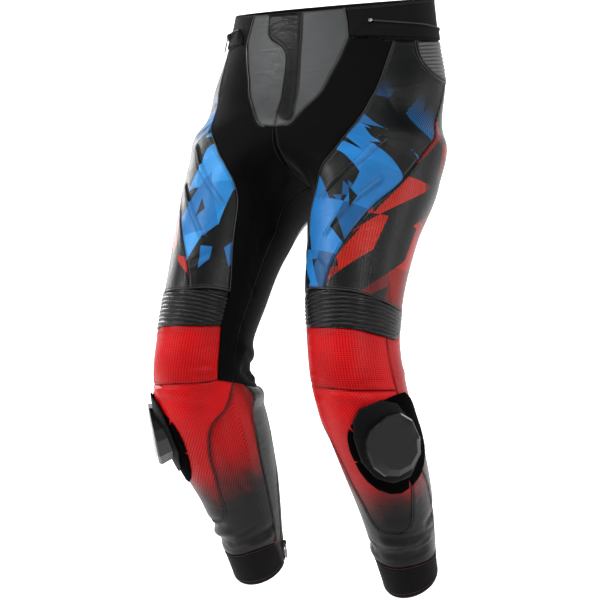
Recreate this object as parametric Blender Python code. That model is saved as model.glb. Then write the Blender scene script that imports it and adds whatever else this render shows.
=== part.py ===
"""Leather motorcycle trousers, filled out as if worn, with no wearer.

Each leg is one bent tube.  A point on it has two numbers: theta, the angle round the section in degrees
(0 outer side, -90 front, +90 back, 180 inner side), and along, the distance down the outer side in mm.
Every panel is an outline in those two numbers, taken from seams that it shares with its neighbours, and
is built as a wall whose outer face lies on the tube.  The wearer's left half is +X, and the right half
is its mirror image.  Sizes are in mm and become metres when a mesh is made.
"""
import math

import bmesh
import bpy
import numpy as np
from mathutils import Vector

MM = 0.001
SHARP_ANGLE = math.radians(40)

# ---------------------------------------------------------------- driving sizes
LEATHER = 2.0            # wall of the cowhide panels
STRETCH = 1.6            # wall of the stretch fabric panels
BAND = 2.4               # wall of the doubled waistband
CUFF = 2.0               # wall of the ribbed ankle cuff
SEAM_INSET = 0.15        # each panel's edge lies this far inside its seam
LAY_GAP = 0.5            # between a panel and what lies on it
COLUMN = 18.0            # degrees between the lines that bend a wall round the leg
MITRE_LIMIT = 0.35       # keeps a sharp corner's inset short
CUT_SNAP = 0.8           # mm within which a seam point serves as a cut point

FLY_WALL = 2.0
FELT_WALL = 2.2          # hook-and-loop patch under the knee slider
PLATE_WALL = 2.0         # slider's backing plate
PUCK_RISE = 13.0         # slider's face above its backing plate
PUCK_TILT = 0.75         # share by which its bottom edge is higher, and its top edge lower
PUCK_SHOULDER = 8.0      # height of the slider's steep side
PUCK_FOOT = 0.88         # underside's, shoulder's and face's sizes over the outline's
PUCK_WIDEST = 0.95
PUCK_FACE = 0.70
PUCK_LEAN = 3.0          # face's middle, towards the back

RIB_COUNT = 10           # ribs of each accordion panel
RIB_RISE = 1.8           # a rib's crest above its valleys
TUCK_RISE = 2.4          # raised tucks on the thigh
TUCK_HALF = 4.0          # half width of a tuck
TUCK_FOOT = 2.8          # from a tuck's crest to the line along its foot
HIP_RIBS = (66.0, 130.0)     # first and last rib's outer edges, along
KNEE_RIBS = (488.0, 548.0)

ZIP_GAP = 7.0            # opening between the leather edges beside a calf zip
ZIP_TAPE = 1.0
ZIP_SINK = 1.2           # tape below the leather's face
TEETH_HALF = 1.6
TEETH_RISE = 1.4         # teeth above the tape

HEM = 944.0
ZIP_TOP = 619.0          # calf zip's upper end
ZIP_STOP = 8.0           # its lower end stands this far above the hem
CUFF_SEAM = 896.0        # where the cuff's top seam meets the zip
CROTCH_FRONT = 232.0     # where the yoke's point meets the centre front seam
SEAT_POINT = 262.0       # where the seat panel's point meets the centre back seam
SLIDER_ALONG = 904.0     # where the calf zip's slider stands
HIP_TOP = 68.0           # hip accordion's upper and lower seams at the back
HIP_FOOT = 131.0
WAIST_CORNER = -54.0     # theta at which the yoke meets the waistband on the rim

# ---------------------------------------------------------------- the form
LEVEL_COLUMNS = ("along", "x", "y", "z", "out", "inn", "front", "back", "pitch", "roll", "yaw", "square")
LEVELS = (
    # level     along   x     y     z   out  inn front back pitch roll yaw square
    ("waist",     0,   0,    0,    18, 162, 162, 122, 122,  10,   0,   0, 2.2),
    ("band",     60,   0,   -6,   -41, 172, 172, 127, 126,   8,   0,   0, 2.2),
    ("hip",     150,   0,  -22,  -125, 190, 190, 133, 137,   2,   0,   0, 2.2),
    ("seat",    225,  12,  -44,  -195, 190, 190, 136, 138,  -8,   2,   0, 2.2),
    ("crotch",  290,  80,  -73,  -262, 128,  80, 112, 124, -16,   6,   5, 2.1),
    ("thigh",   380, 110, -119,  -345,  90,  76,  93,  96, -20,   6,   7, 2.0),
    ("lower",   470, 119, -153,  -430,  76,  69,  84,  84, -18,   5,   8, 2.0),
    ("above",   550, 129, -171,  -505,  70,  66,  79,  77, -12,   4,  11, 2.0),
    ("hollow",  605, 134, -168,  -560,  72,  66,  83,  80,  -5,   3,  14, 2.0),
    ("knee",    645, 137, -158,  -598,  72,  64,  82,  96,   4,   2,  18, 2.0),
    ("below",   710, 140, -120,  -660,  69,  60,  76,  93,  18,   0,  20, 2.0),
    ("calf",    800, 139,  -60,  -745,  58,  55,  63,  71,  26,   0,  16, 2.0),
    ("ankle",   900, 137,  -18,  -835,  47,  46,  48,  50,  30,   0,  12, 2.0),
    ("hem",     944, 137,   -1,  -871,  43,  43,  44,  45,  38,   0,  10, 2.0),
)

# Large folds: a ridge (rise over 0) or a trough along a straight line on the unrolled leg.
FOLDS = (
    # fold              rise half_width theta0 along0 theta1 along1
    ("knee crease 1",   -3.0,   7.0,   -138,   621,   -52,  619),
    ("knee crease 2",   -2.5,   6.0,   -132,   636,   -84,  636),
    ("knee swell",       2.5,   8.0,   -134,   629,   -60,  628),
    ("hollow fold 1",   -4.0,   8.0,   -190,   584,  -236,  604),
    ("hollow fold 2",   -4.5,   9.0,     70,   586,   140,  576),
    ("hollow roll",      5.0,  10.0,     66,   600,   150,  600),
    ("hollow bulge",     5.0,  14.0,    100,   562,   186,  556),
    ("calf top roll",    9.0,  19.0,     88,   632,   176,  632),
    ("ankle fold 1",    -3.0,   6.0,   -112,   826,   -30,  846),
    ("ankle roll 1",     3.0,   7.0,   -118,   838,   -36,  858),
    ("ankle fold 2",    -3.5,   6.0,   -116,   862,   -20,  868),
    ("ankle fold 3",    -3.0,   6.0,   -196,   856,  -126,  860),
    ("ankle roll 3",     2.5,   7.0,   -190,   869,  -120,  872),
    ("ankle fold 4",    -3.0,   6.0,    -40,   830,    40,  822),
    ("ankle fold 5",    -3.0,   6.0,     60,   850,   130,  838),
    ("groin fold",      -4.0,  12.0,   -176,   384,  -140,  345),
)

# Lines across the leg at which every wall bends: close together at the knee and the ankle.
ROW_BANDS = (
    # start end count
    (0, 225, 5), (225, 315, 6), (315, 540, 5), (540, 608, 4), (629, 645, 2),
    (645, 735, 4), (735, 820, 2), (820, 868, 3), (868, 915, 1),
)

# Tucks: narrow raised lines that cross the thigh panel.
TUCKS = (
    # tuck      theta0 along0 theta1 along1
    ("upper",    -38,   258,  -110,  358),
    ("lower",    -50,   322,  -104,  414),
)

# ---------------------------------------------------------------- seams, as (theta, along)
SEAMS = {
    "band end": ((WAIST_CORNER, 0), (-52, 25), (-51, 48)),
    "yoke edge": ((-51, 48), (-53, 66), (-56, 90), (-60, 118), (-63, 146), (-70, 183), (-76.5, 210),
                  (-83, 226), (-90, CROTCH_FRONT)),
    "band bottom front": ((-51, 48), (-44, 49), (-35, 55), (-26, 60)),
    "band bottom side": ((-26, 60), (-12, 63)),
    "band bottom back": ((-12, 63), (0, 66), (18, HIP_TOP), (90, HIP_TOP)),
    "thigh front": ((-26, 60), (-30, 94), (-33, 128), (-36, 165), (-40, 206), (-46, 232), (-53, 246),
                    (-75, 275), (-96, 299), (-110, 320), (-121, 345), (-128, 376), (-138, 432),
                    (-147, 479)),
    "hip rib front": ((-12, 63), (-11, 88), (-8, 105), (-3, 118), (5, 127), (17, 130)),
    "hip rib side": ((17, 130), (48, HIP_FOOT)),
    "hip rib back": ((48, HIP_FOOT), (90, HIP_FOOT)),
    "diagonal": ((17, 130), (11, 142), (8, 165), (3, 200), (-5, 243), (-15, 273), (-28, 306),
                 (-39, 334), (-51, 357), (-61, 378), (-73, 404), (-82, 426), (-92, 454), (-102, 490)),
    "side back upper": ((48, HIP_FOOT), (50, 200), (50, 300), (47, 400), (46, 494)),
    "side back middle": ((46, 494), (49, 522)),
    "side back lower": ((49, 522), (54, 560), (62, 612)),
    "knee rib top inner": ((-147, 479), (-124, 483), (-102, 490)),
    "knee rib top outer": ((-102, 490), (-83, 493), (-62, 495), (-37, 499), (-11, 501), (22, 496)),
    "knee rib end": ((22, 496), (20, 512), (16, 527), (3, 541), (-10, 548), (-28, 549)),
    "knee rib bottom": ((-28, 549), (-39, 549), (-67, 545), (-103, 542), (-126, 538), (-150, 531)),
    "knee rib inner": ((-147, 479), (-150, 531)),
    "outer thigh bottom": ((22, 496), (46, 494)),
    "seat edge": ((49, 522), (75, 528), (105, 528), (118, 518), (124, 500), (128, 440), (130, 390),
                  (129, 350), (122, 318), (112, 296), (104, 280), (109, SEAT_POINT)),
    "knee upper inner": ((-150, 531), (-153, 556), (-154, 585), (-155, 608)),
    "knee seam": ((-28, 621), (-53, 621), (-76, 621), (-96, 619), (-132, 614), (-155, 608)),
    "knee seam inner": ((-155, 608), (-180, 610)),
    "outer vertical": ((-28, 549), (-29, 585), (-28, 621)),
    "shin edge": ((-180, 610), (-174, 638), (-165, 654), (-151, 664), (-141, 676), (-134, 694),
                  (-129, 718), (-126, 741), (-120, 768), (-114, 800), (-108, 813), (-98, 822),
                  (-84, 827), (-70, 826), (-60, 817), (-53, 799), (-48, 770), (-40, 735), (-33, 705)),
    "shin outer": ((-33, 705), (-29, 670), (-28, 621)),
    "outer calf": ((-33, 705), (-22, 742), (-11, 770), (-6, 800), (-1, 836), (10, 868), (16, 899)),
    "knee hollow inner": ((180, 610), (162, 612)),
    "inner calf": ((162, 612), (150, 627), (145, 645), (148, 668), (150, 711), (156, 742), (163, 774),
                   (169, 807), (171, 843), (174, 870), (176, 888)),
    "calf top back": ((62, 612), (75, 618), (90, 621)),
    "side back calf": ((62, 612), (66, 650), (69, 700), (69, 760), (66, 830), (62, 900)),
    "cuff top": ((16, 899), (-23, 896), (-58, 890), (-86, 888), (-107, 886), (-134, 882), (-159, 883),
                 (-184, 888)),
    "cuff top side": ((16, 899), (40, 901), (62, 900)),
    "cuff top back": ((62, 900), (100, 898), (151, 896)),
    "placket foot": ((176, 888), (169, 916), (164, HEM)),
    "calf zip": ((119, 619), (110, 651), (108, 717), (114, 768), (132, 808), (141, 850), (150, 896),
                 (151, 922), (151, HEM)),
}

FLY_OUTLINE = (
    # bearing from centre front in degrees (+ is the wearer's left), along in mm
    (6, 2), (7, 45), (8, 90), (9.5, 135), (11, 180), (11, 205), (8, 219), (4, 222), (1, 216), (0, 200),
    (0, 180), (-1, 135), (-2, 90), (-3, 74), (-6, 62), (-12, 52), (-17, 45), (-20, 36), (-21, 20),
    (-22, 2),
)
FELT_OUTLINE = (
    # theta, along; three notches let the patch bend with the knee
    (-11, 624), (8, 634), (19, 648), (21, 672), (19, 698), (9, 720), (-12, 738), (-30, 749), (-46, 755),
    (-49, 742), (-50.5, 756), (-62, 759), (-76, 755), (-89, 745), (-98, 732), (-103, 717), (-104.5, 706),
    (-98.5, 704), (-105, 702.5), (-105.5, 690), (-103.5, 677), (-100, 668), (-97.5, 664), (-92, 670),
    (-94.5, 660), (-75, 643.5), (-55, 633), (-33, 627),
)
PUCK_THETA = -60.0
PUCK_ALONG = 684.5
PUCK_OUTLINE = (
    # across (towards the back) and down from the slider's middle, in mm
    (-26, -42), (4, -50), (28, -44), (42, -24), (44, 8), (36, 34), (14, 50), (-12, 50), (-32, 38),
    (-44, 16), (-44, -12), (-38, -30),
)
PUCK_HALF = 50.0         # half its height
PLATE_SCALE = 1.06
PLATE_GAP = 1.2

JACKET_STRIP = (
    # bearing from centre back in degrees, top along, bottom along, for each half of the strip
    (0, 46, 66), (45, 46, 66), (72, 46, 66), (99, 36, 59), (112, 31, 56), (130, 23, 50), (137, 36, 50),
)
JACKET_WALL = 1.8
JACKET_SLIDER = (296.0, 35.0)    # bearing and along of its slider
PULL_DROP = 10.0         # along, between a slider and the point that its pull points to

# ---------------------------------------------------------------- colours (linear)
FINISHES = {
    "stretch": ((0.010, 0.010, 0.011), 0.85, 0.0),
    "grey leather": ((0.055, 0.057, 0.060), 0.45, 0.0),
    "black leather": ((0.018, 0.018, 0.019), 0.42, 0.0),
    "blue print": ((0.030, 0.120, 0.330), 0.40, 0.0),
    "red leather": ((0.600, 0.020, 0.020), 0.35, 0.0),
    "rib": ((0.012, 0.012, 0.013), 0.30, 0.0),
    "felt": ((0.008, 0.008, 0.008), 0.95, 0.0),
    "slider": ((0.030, 0.031, 0.033), 0.20, 0.0),
    "zip": ((0.010, 0.010, 0.010), 0.60, 0.0),
    "metal": ((0.250, 0.250, 0.260), 0.35, 1.0),
}


# ---------------------------------------------------------------- the surface
def level_slopes(table):
    """Slope of every column at every level, so that the tube is smooth through its levels."""
    along = table[:, 0]
    spans = np.diff(along)
    chords = np.diff(table, axis=0) / spans[:, None]
    slopes = np.zeros_like(table)
    slopes[0], slopes[-1] = chords[0], chords[-1]
    slopes[1:-1] = (chords[:-1] * spans[1:, None] + chords[1:] * spans[:-1, None])
    slopes[1:-1] /= (spans[1:] + spans[:-1])[:, None]
    slopes[1:-1][(chords[:-1] == 0) | (chords[1:] == 0)] = 0
    return slopes


TABLE = np.array([row[1:] for row in LEVELS], float)
SLOPES = level_slopes(TABLE)


def level_at(along):
    """The level columns at any distance along the leg."""
    stops = TABLE[:, 0]
    k = np.clip(np.searchsorted(stops, along, side="right") - 1, 0, len(stops) - 2)
    span = stops[k + 1] - stops[k]
    t = ((along - stops[k]) / span)[..., None]
    span = span[..., None]
    low = (2 * t**3 - 3 * t**2 + 1) * TABLE[k] + (t**3 - 2 * t**2 + t) * span * SLOPES[k]
    high = (3 * t**2 - 2 * t**3) * TABLE[k + 1] + (t**3 - t**2) * span * SLOPES[k + 1]
    return low + high


def tube_point(theta, along):
    """Points of the smooth left half, with no folds."""
    theta, along = np.broadcast_arrays(np.asarray(theta, float), np.asarray(along, float))
    row = level_at(along)
    column = {name: row[..., i] for i, name in enumerate(LEVEL_COLUMNS)}
    angle = np.radians(theta)
    c, s = np.cos(angle), np.sin(angle)
    half_x = np.where(c >= 0, column["out"], column["inn"])
    half_y = np.where(s < 0, column["front"], column["back"])
    power = column["square"]
    radius = (np.abs(c / half_x)**power + np.abs(s / half_y)**power)**(-1 / power)
    yaw, pitch, roll = (np.radians(column[name]) for name in ("yaw", "pitch", "roll"))
    x = radius * (c * np.cos(yaw) - s * np.sin(yaw))
    y = radius * (c * np.sin(yaw) + s * np.cos(yaw))
    z = y * np.sin(pitch) + x * np.sin(roll)
    return np.stack([column["x"] + x * np.cos(roll), column["y"] + y * np.cos(pitch), column["z"] + z], -1)


def tube_normal(theta, along, step=0.5):
    """Outward unit normals of the smooth tube."""
    along = np.clip(np.asarray(along, float), step, HEM - step)
    round_way = tube_point(theta + step, along) - tube_point(theta - step, along)
    down_way = tube_point(theta, along + step) - tube_point(theta, along - step)
    normal = np.cross(down_way, round_way)
    return normal / np.linalg.norm(normal, axis=-1, keepdims=True)


def mean_radius(along):
    row = level_at(np.asarray(along, float))
    return sum(row[..., LEVEL_COLUMNS.index(name)] for name in ("out", "inn", "front", "back")) / 4


def line_reach(theta, along, start, end):
    """Distance in mm from a line on the unrolled leg, and how far along it, 0 to 1."""
    radius = mean_radius((start[1] + end[1]) / 2)
    middle = (start[0] + end[0]) / 2
    offset = (np.asarray(theta, float) - middle + 180) % 360 - 180
    u = np.radians(offset) * radius
    ua, ub = (math.radians(end_theta - middle) * radius for end_theta in (start[0], end[0]))
    direction = np.array([ub - ua, end[1] - start[1]])
    length = np.hypot(*direction)
    direction /= length
    run = (u - ua) * direction[0] + (along - start[1]) * direction[1]
    side = (u - ua) * direction[1] - (along - start[1]) * direction[0]
    return side, run / length


def smooth_step(t):
    t = np.clip(t, 0, 1)
    return t * t * (3 - 2 * t)


def fold_height(theta, along):
    total = np.zeros(np.broadcast(theta, along).shape)
    for _, rise, half, theta0, along0, theta1, along1 in FOLDS:
        side, run = line_reach(theta, along, (theta0, along0), (theta1, along1))
        ends = smooth_step(run / 0.25) * smooth_step((1 - run) / 0.25)
        total = total + rise * ends * np.exp(-(side / half)**2)
    return total


def surface(theta, along):
    """Points of the folded outer surface and the tube's normals there."""
    theta, along = np.asarray(theta, float), np.asarray(along, float)
    normal = tube_normal(theta, along)
    return tube_point(theta, along) + normal * fold_height(theta, along)[..., None], normal


def torso_surface(bearing, along):
    """The same, by bearing from centre front, positive on the wearer's left."""
    turn = (np.asarray(bearing, float) + 180) % 360 - 180
    point, normal = surface(np.abs(turn) - 90, along)
    flip = np.where(turn < 0, -1.0, 1.0)[..., None] * np.array([1.0, 0, 0]) + np.array([0, 1.0, 1.0])
    return point * flip, normal * flip


def crotch_along():
    """Where the inner side first leaves the middle plane."""
    low, high = 225.0, 300.0
    for _ in range(40):
        middle = (low + high) / 2
        if tube_point(180.0, middle)[0] < 0:
            low = middle
        else:
            high = middle
    return high


CROTCH = crotch_along()


def middle_theta(along, sign):
    """Angle at which the half section meets the middle plane, in front (-1) or behind (+1)."""
    near, far = sign * 45.0, sign * 180.0
    for _ in range(40):
        middle = (near + far) / 2
        if tube_point(middle, along)[0] > 0:
            near = middle
        else:
            far = middle
    return near


# ---------------------------------------------------------------- outlines
def rows_between(start, end, lines):
    return [line for line in lines if start + CUT_SNAP < line < end - CUT_SNAP]


BASE_ROWS = sorted({start + (end - start) * i / count for start, end, count in ROW_BANDS
                    for i in range(count + 1)})


def centre_line(start, end, sign):
    """Points down the centre front (-1) or centre back (+1) seam, from start to end along."""
    stops = rows_between(start, end, BASE_ROWS)
    points = [(middle_theta(stop, sign), stop) for stop in [start] + stops]
    last = sign * 180.0 if end >= CROTCH else middle_theta(end, sign)
    return points + [(last, end)]


def seam(name, back=False, turn=0.0):
    points = [(theta + turn, along) for theta, along in SEAMS[name]]
    return points[::-1] if back else points


def seam_snapped(name, back=False):
    """A seam whose last point lies on the middle plane."""
    points = seam(name)
    theta, along = points[-1]
    points[-1] = (middle_theta(along, math.copysign(1, theta)), along)
    return points[::-1] if back else points


def zip_edge(side, start=None, end=HEM):
    """The calf zip's line moved half the zip gap towards the front (+1) or the back (-1)."""
    points = []
    for theta, along in SEAMS["calf zip"]:
        shift = math.degrees(side * ZIP_GAP / 2 / float(mean_radius(along)))
        points.append((theta + shift, float(along)))
    if start is None:
        return [point for point in points if point[1] <= end]
    kept = [point for point in points if start < point[1] < end]
    return [on_line(points, start)] + kept + [on_line(points, end)]


def on_line(points, along):
    stops = [point[1] for point in points]
    return (float(np.interp(along, stops, [point[0] for point in points])), along)


def chain(*parts):
    """Joins runs of points into one closed outline, dropping repeated points."""
    outline = []
    for part in parts:
        for point in part:
            if not outline or math.dist(point, outline[-1]) > 0.05:
                outline.append(point)
    if math.dist(outline[0], outline[-1]) < 0.05:
        outline.pop()
    return outline


# ---------------------------------------------------------------- walls
def flat_face(outline):
    bm = bmesh.new()
    bm.faces.new([bm.verts.new((theta, along, 0)) for theta, along in outline])
    return bm


def cut_flat(bm, point, normal, faces=None):
    faces = bm.faces[:] if faces is None else faces
    edges = {edge for face in faces for edge in face.edges}
    verts = {vertex for face in faces for vertex in face.verts}
    geometry = list(verts) + list(edges) + faces
    bmesh.ops.bisect_plane(bm, geom=geometry, dist=CUT_SNAP, plane_co=point, plane_no=normal)


def cut_line(bm, start, end, shift=0.0):
    """Cuts only the faces that a line, moved sideways by shift, passes between its ends."""
    start, end = Vector((*start, 0)), Vector((*end, 0))
    direction = (end - start).normalized()
    normal = Vector((-direction.y, direction.x, 0))
    length = (end - start).length

    def is_near(face):
        runs = [(vertex.co - start).dot(direction) for vertex in face.verts]
        sides = [(vertex.co - start).dot(normal) - shift for vertex in face.verts]
        return max(runs) > 0 and min(runs) < length and max(sides) > CUT_SNAP and min(sides) < -CUT_SNAP
    near = [face for face in bm.faces if is_near(face)]
    if near:
        cut_flat(bm, start + normal * shift, normal, near)


def cut_grid(bm, rows, cuts=()):
    """Cuts the flat outline along the shared grid, and along any lines of its own."""
    thetas = [vertex.co.x for vertex in bm.verts]
    first = math.ceil(min(thetas) / COLUMN)
    for i in range(first, math.floor(max(thetas) / COLUMN) + 1):
        cut_flat(bm, (i * COLUMN, 0, 0), (1, 0, 0))
    alongs = [vertex.co.y for vertex in bm.verts]
    for row in rows_between(min(alongs), max(alongs), rows):
        cut_flat(bm, (0, row, 0), (0, 1, 0))
    for cut in cuts:
        cut_line(bm, *cut)


def edge_insets(bm, place, inset):
    """How far each edge point moves inwards on the surface, so that panels stand apart at seams."""
    moves = {}
    for vertex in bm.verts:
        rim = [edge for edge in vertex.link_edges if edge.is_boundary]
        if len(rim) != 2:
            continue
        here, normal = place(vertex.co.x, vertex.co.y)
        inward = []
        for edge in rim:
            other = edge.other_vert(vertex)
            along_edge = place(other.co.x, other.co.y)[0] - here
            across = np.cross(normal, along_edge)
            across /= np.linalg.norm(across)
            middle = edge.link_faces[0].calc_center_median()
            if np.dot(across, place(middle.x, middle.y)[0] - here) < 0:
                across = -across
            inward.append(across)
        both = inward[0] + inward[1]
        share = max(1 + float(np.dot(inward[0], inward[1])), MITRE_LIMIT)
        moves[vertex.index] = both * inset / share
    return moves


def wall_mesh(outline, rows, thick, lift=0.0, relief=None, cuts=(), place=surface, inset=SEAM_INSET):
    """Outer and inner points of one panel and its triangles, as a closed mesh in mm."""
    bm = flat_face(outline)
    cut_grid(bm, rows, cuts)
    bmesh.ops.triangulate(bm, faces=bm.faces[:])
    bm.verts.index_update()
    moves = edge_insets(bm, place, inset)
    theta = np.array([vertex.co.x for vertex in bm.verts], float)
    along = np.array([vertex.co.y for vertex in bm.verts], float)
    point, normal = place(theta, along)
    shift = np.zeros_like(point)
    for index, move in moves.items():
        shift[index] = move
    rise = relief(theta, along)[:, None] if relief else 0.0
    outer = point + shift + normal * (lift + rise)
    inner = point + shift + normal * (lift - thick)
    count = len(theta)
    faces = [[vertex.index for vertex in face.verts] for face in bm.faces]
    faces += [[index + count for index in reversed(face)] for face in faces]
    for edge in bm.edges:
        if edge.is_boundary:
            a, b = (vertex.index for vertex in edge.verts)
            faces += [[a, b, b + count], [a, b + count, a + count]]
    bm.free()
    return np.vstack([outer, inner]), faces


def keep_half(points):
    """No point of the left half crosses the middle plane's clearance."""
    points[:, 0] = np.maximum(points[:, 0], SEAM_INSET)
    return points


def add_node(name, points, faces, finish, smooth=True):
    mesh = bpy.data.meshes.new(name)
    bm = bmesh.new()
    vertices = [bm.verts.new(point * MM) for point in points]
    for face in faces:
        bm.faces.new([vertices[index] for index in face])
    bmesh.ops.recalc_face_normals(bm, faces=bm.faces[:])
    bm.to_mesh(mesh)
    bm.free()
    if smooth:
        mesh.shade_smooth()
        mesh.set_sharp_from_angle(angle=SHARP_ANGLE)
    mesh.materials.append(finish_material(name, finish))
    node = bpy.data.objects.new(name, mesh)
    bpy.context.scene.collection.objects.link(node)
    return node


def finish_material(name, finish):
    colour, roughness, metallic = FINISHES[finish]
    material = bpy.data.materials.new(name)
    material.use_nodes = True
    shader = material.node_tree.nodes["Principled BSDF"]
    shader.inputs["Base Color"].default_value = (*colour, 1.0)
    shader.inputs["Roughness"].default_value = roughness
    shader.inputs["Metallic"].default_value = metallic
    return material


MIRROR = np.array([-1.0, 1.0, 1.0])


def add_pair(name, points, faces, finish):
    """The left piece and its mirror image on the right."""
    add_node(name + "_left", points, faces, finish)
    add_node(name + "_right", points * MIRROR, faces, finish)


def add_panel(name, outline, finish, thick, rows=None, **more):
    points, faces = wall_mesh(outline, rows or BASE_ROWS, thick, **more)
    add_pair(name, keep_half(points), faces, finish)


# ---------------------------------------------------------------- panels above the knee
def build_yoke():
    outline = chain(seam("band end"), seam_snapped("yoke edge"),
                    centre_line(0.0, CROTCH_FRONT, -1)[::-1])
    add_panel("yoke", outline, "grey leather", LEATHER)


def build_waistband():
    """One band round the back, from one yoke edge to the other."""
    half = chain(seam("band end"), seam("band bottom front"), seam("band bottom side"),
                 seam("band bottom back"))
    left = [(theta + 90, along) for theta, along in half]
    right = [(360 - bearing, along) for bearing, along in left[::-1]]
    points, faces = wall_mesh(chain(left, right), BASE_ROWS, BAND, place=torso_surface)
    add_node("waistband", points, faces, "stretch")


def build_front_stretch():
    outline = chain(seam("band bottom front"), seam("thigh front"), seam("knee rib inner"),
                    seam("knee upper inner"), seam("knee seam inner"), [(-180, CROTCH)],
                    centre_line(CROTCH_FRONT, CROTCH, -1)[::-1], seam_snapped("yoke edge", back=True))
    add_panel("front_stretch", outline, "stretch", STRETCH)


def build_back_stretch():
    outline = chain(seam_snapped("seat edge"), centre_line(SEAT_POINT, CROTCH, 1), [(180, 610)],
                    seam("knee hollow inner"), [zip_edge(1)[0], zip_edge(-1)[0]],
                    seam("calf top back", back=True), seam("side back lower", back=True))
    add_panel("back_stretch", outline, "stretch", STRETCH)


def build_seat():
    outline = chain(seam_snapped("hip rib back"), centre_line(HIP_FOOT, SEAT_POINT, 1),
                    seam_snapped("seat edge", back=True), seam("side back middle", back=True),
                    seam("side back upper", back=True))
    add_panel("seat", outline, "black leather", LEATHER)


def tuck_height(theta, along):
    total = np.zeros_like(theta)
    for _, theta0, along0, theta1, along1 in TUCKS:
        side, run = line_reach(theta, along, (theta0, along0), (theta1, along1))
        inside = (run > -0.02) & (run < 1.02)
        total = np.maximum(total, TUCK_RISE * inside * np.clip(1 - np.abs(side) / TUCK_HALF, 0, 1))
    return total


def tuck_cuts():
    """Three lines for each tuck: its two feet and its crest."""
    cuts = []
    for _, theta0, along0, theta1, along1 in TUCKS:
        for shift in (-TUCK_FOOT, 0.0, TUCK_FOOT):
            cuts.append(((theta0, along0), (theta1, along1), shift))
    return cuts


def build_thigh():
    outline = chain(seam("band bottom side"), seam("hip rib front"), seam("diagonal"),
                    seam("knee rib top inner", back=True), seam("thigh front", back=True))
    add_panel("thigh", outline, "blue print", LEATHER, relief=tuck_height, cuts=tuck_cuts())


def build_outer_thigh():
    outline = chain(seam("hip rib side"), seam("side back upper"), seam("outer thigh bottom", back=True),
                    seam("knee rib top outer", back=True), seam("diagonal", back=True))
    add_panel("outer_thigh", outline, "red leather", LEATHER)


def rib_rows(start, end):
    """Valley and crest lines of an accordion, half a rib apart."""
    half = (end - start) / RIB_COUNT / 2
    return [start + half * i for i in range(1, 2 * RIB_COUNT)]


def rib_relief(start, end):
    pitch = (end - start) / RIB_COUNT

    def relief(theta, along):
        return RIB_RISE * np.sin(np.pi * np.clip((along - start) / pitch, 0, RIB_COUNT))**2
    return relief


def build_hip_accordion():
    outline = chain(seam_snapped("band bottom back"), centre_line(HIP_TOP, HIP_FOOT, 1),
                    seam_snapped("hip rib back", back=True), seam("hip rib side", back=True),
                    seam("hip rib front", back=True))
    add_panel("hip_accordion", outline, "rib", LEATHER, rows=rib_rows(*HIP_RIBS),
              relief=rib_relief(*HIP_RIBS))


def build_knee_accordion():
    outline = chain(seam("knee rib top inner"), seam("knee rib top outer"), seam("knee rib end"),
                    seam("knee rib bottom"), seam("knee rib inner", back=True))
    add_panel("knee_accordion", outline, "rib", LEATHER, rows=rib_rows(*KNEE_RIBS),
              relief=rib_relief(*KNEE_RIBS))


# ---------------------------------------------------------------- panels from the knee down
def build_knee_upper():
    outline = chain(seam("knee rib bottom"), seam("knee upper inner"), seam("knee seam", back=True),
                    seam("outer vertical", back=True))
    add_panel("knee_upper", outline, "red leather", LEATHER)


def build_shin():
    outline = chain(seam("knee seam"), seam("knee seam inner"), seam("shin edge"), seam("shin outer"))
    add_panel("shin", outline, "red leather", LEATHER)


def build_calf_wrap():
    """Inner calf panel, which runs under the shin panel and up its outer side to a point."""
    outline = chain(seam("knee hollow inner", turn=-360), seam("inner calf", turn=-360),
                    seam("cuff top", back=True), seam("outer calf", back=True),
                    seam("shin edge", back=True))
    add_panel("calf_wrap", outline, "black leather", LEATHER)


def build_calf_side():
    outline = chain(seam("knee rib end", back=True), seam("outer thigh bottom"), seam("side back middle"),
                    seam("side back lower"), seam("side back calf"), seam("cuff top side", back=True),
                    seam("outer calf", back=True), seam("shin outer"), seam("outer vertical", back=True))
    add_panel("calf_side", outline, "red leather", LEATHER)


def build_calf_back():
    outline = chain(seam("calf top back"), zip_edge(-1, ZIP_TOP, CUFF_SEAM),
                    seam("cuff top back", back=True)[1:], seam("side back calf", back=True))
    add_panel("calf_back", outline, "black leather", LEATHER)


def build_calf_placket():
    """Strip between the inner calf seam and the zip, down to the hem."""
    outline = chain(seam("inner calf"), seam("placket foot"), zip_edge(1)[::-1])
    add_panel("calf_placket", outline, "black leather", LEATHER)


def build_cuff():
    """Ankle cuff, open at the zip and the placket."""
    outline = chain(seam("cuff top back", back=True)[1:], seam("cuff top side", back=True),
                    seam("cuff top"), seam("placket foot", turn=-360), zip_edge(-1, CUFF_SEAM, HEM)[::-1])
    add_panel("cuff", outline, "stretch", CUFF)


# ---------------------------------------------------------------- what lies on the panels
def build_fly():
    lift = LAY_GAP + FLY_WALL
    points, faces = wall_mesh(FLY_OUTLINE, BASE_ROWS, FLY_WALL, lift=lift, place=torso_surface)
    add_node("fly", points, faces, "black leather")


def seam_cuts(*names):
    """The seams under a piece, along which it bends as the panels below do."""
    cuts = []
    for name in names:
        cuts += list(zip(SEAMS[name], SEAMS[name][1:]))
    return cuts


UNDER_KNEE = ("outer vertical", "shin outer", "outer calf", "shin edge", "knee seam")


def build_felt():
    add_panel("knee_felt", FELT_OUTLINE, "felt", FELT_WALL, lift=LAY_GAP + FELT_WALL,
              cuts=seam_cuts(*UNDER_KNEE))


def puck_flat(scale):
    """The slider's outline as theta and along."""
    outline = []
    for across, down in PUCK_OUTLINE:
        along = PUCK_ALONG + down * scale
        theta = PUCK_THETA + math.degrees(across * scale / float(mean_radius(along)))
        outline.append((theta, along))
    return outline


PLATE_LIFT = LAY_GAP + FELT_WALL + PLATE_GAP + PLATE_WALL
PUCK_LIFT = PLATE_LIFT + LAY_GAP


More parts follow.
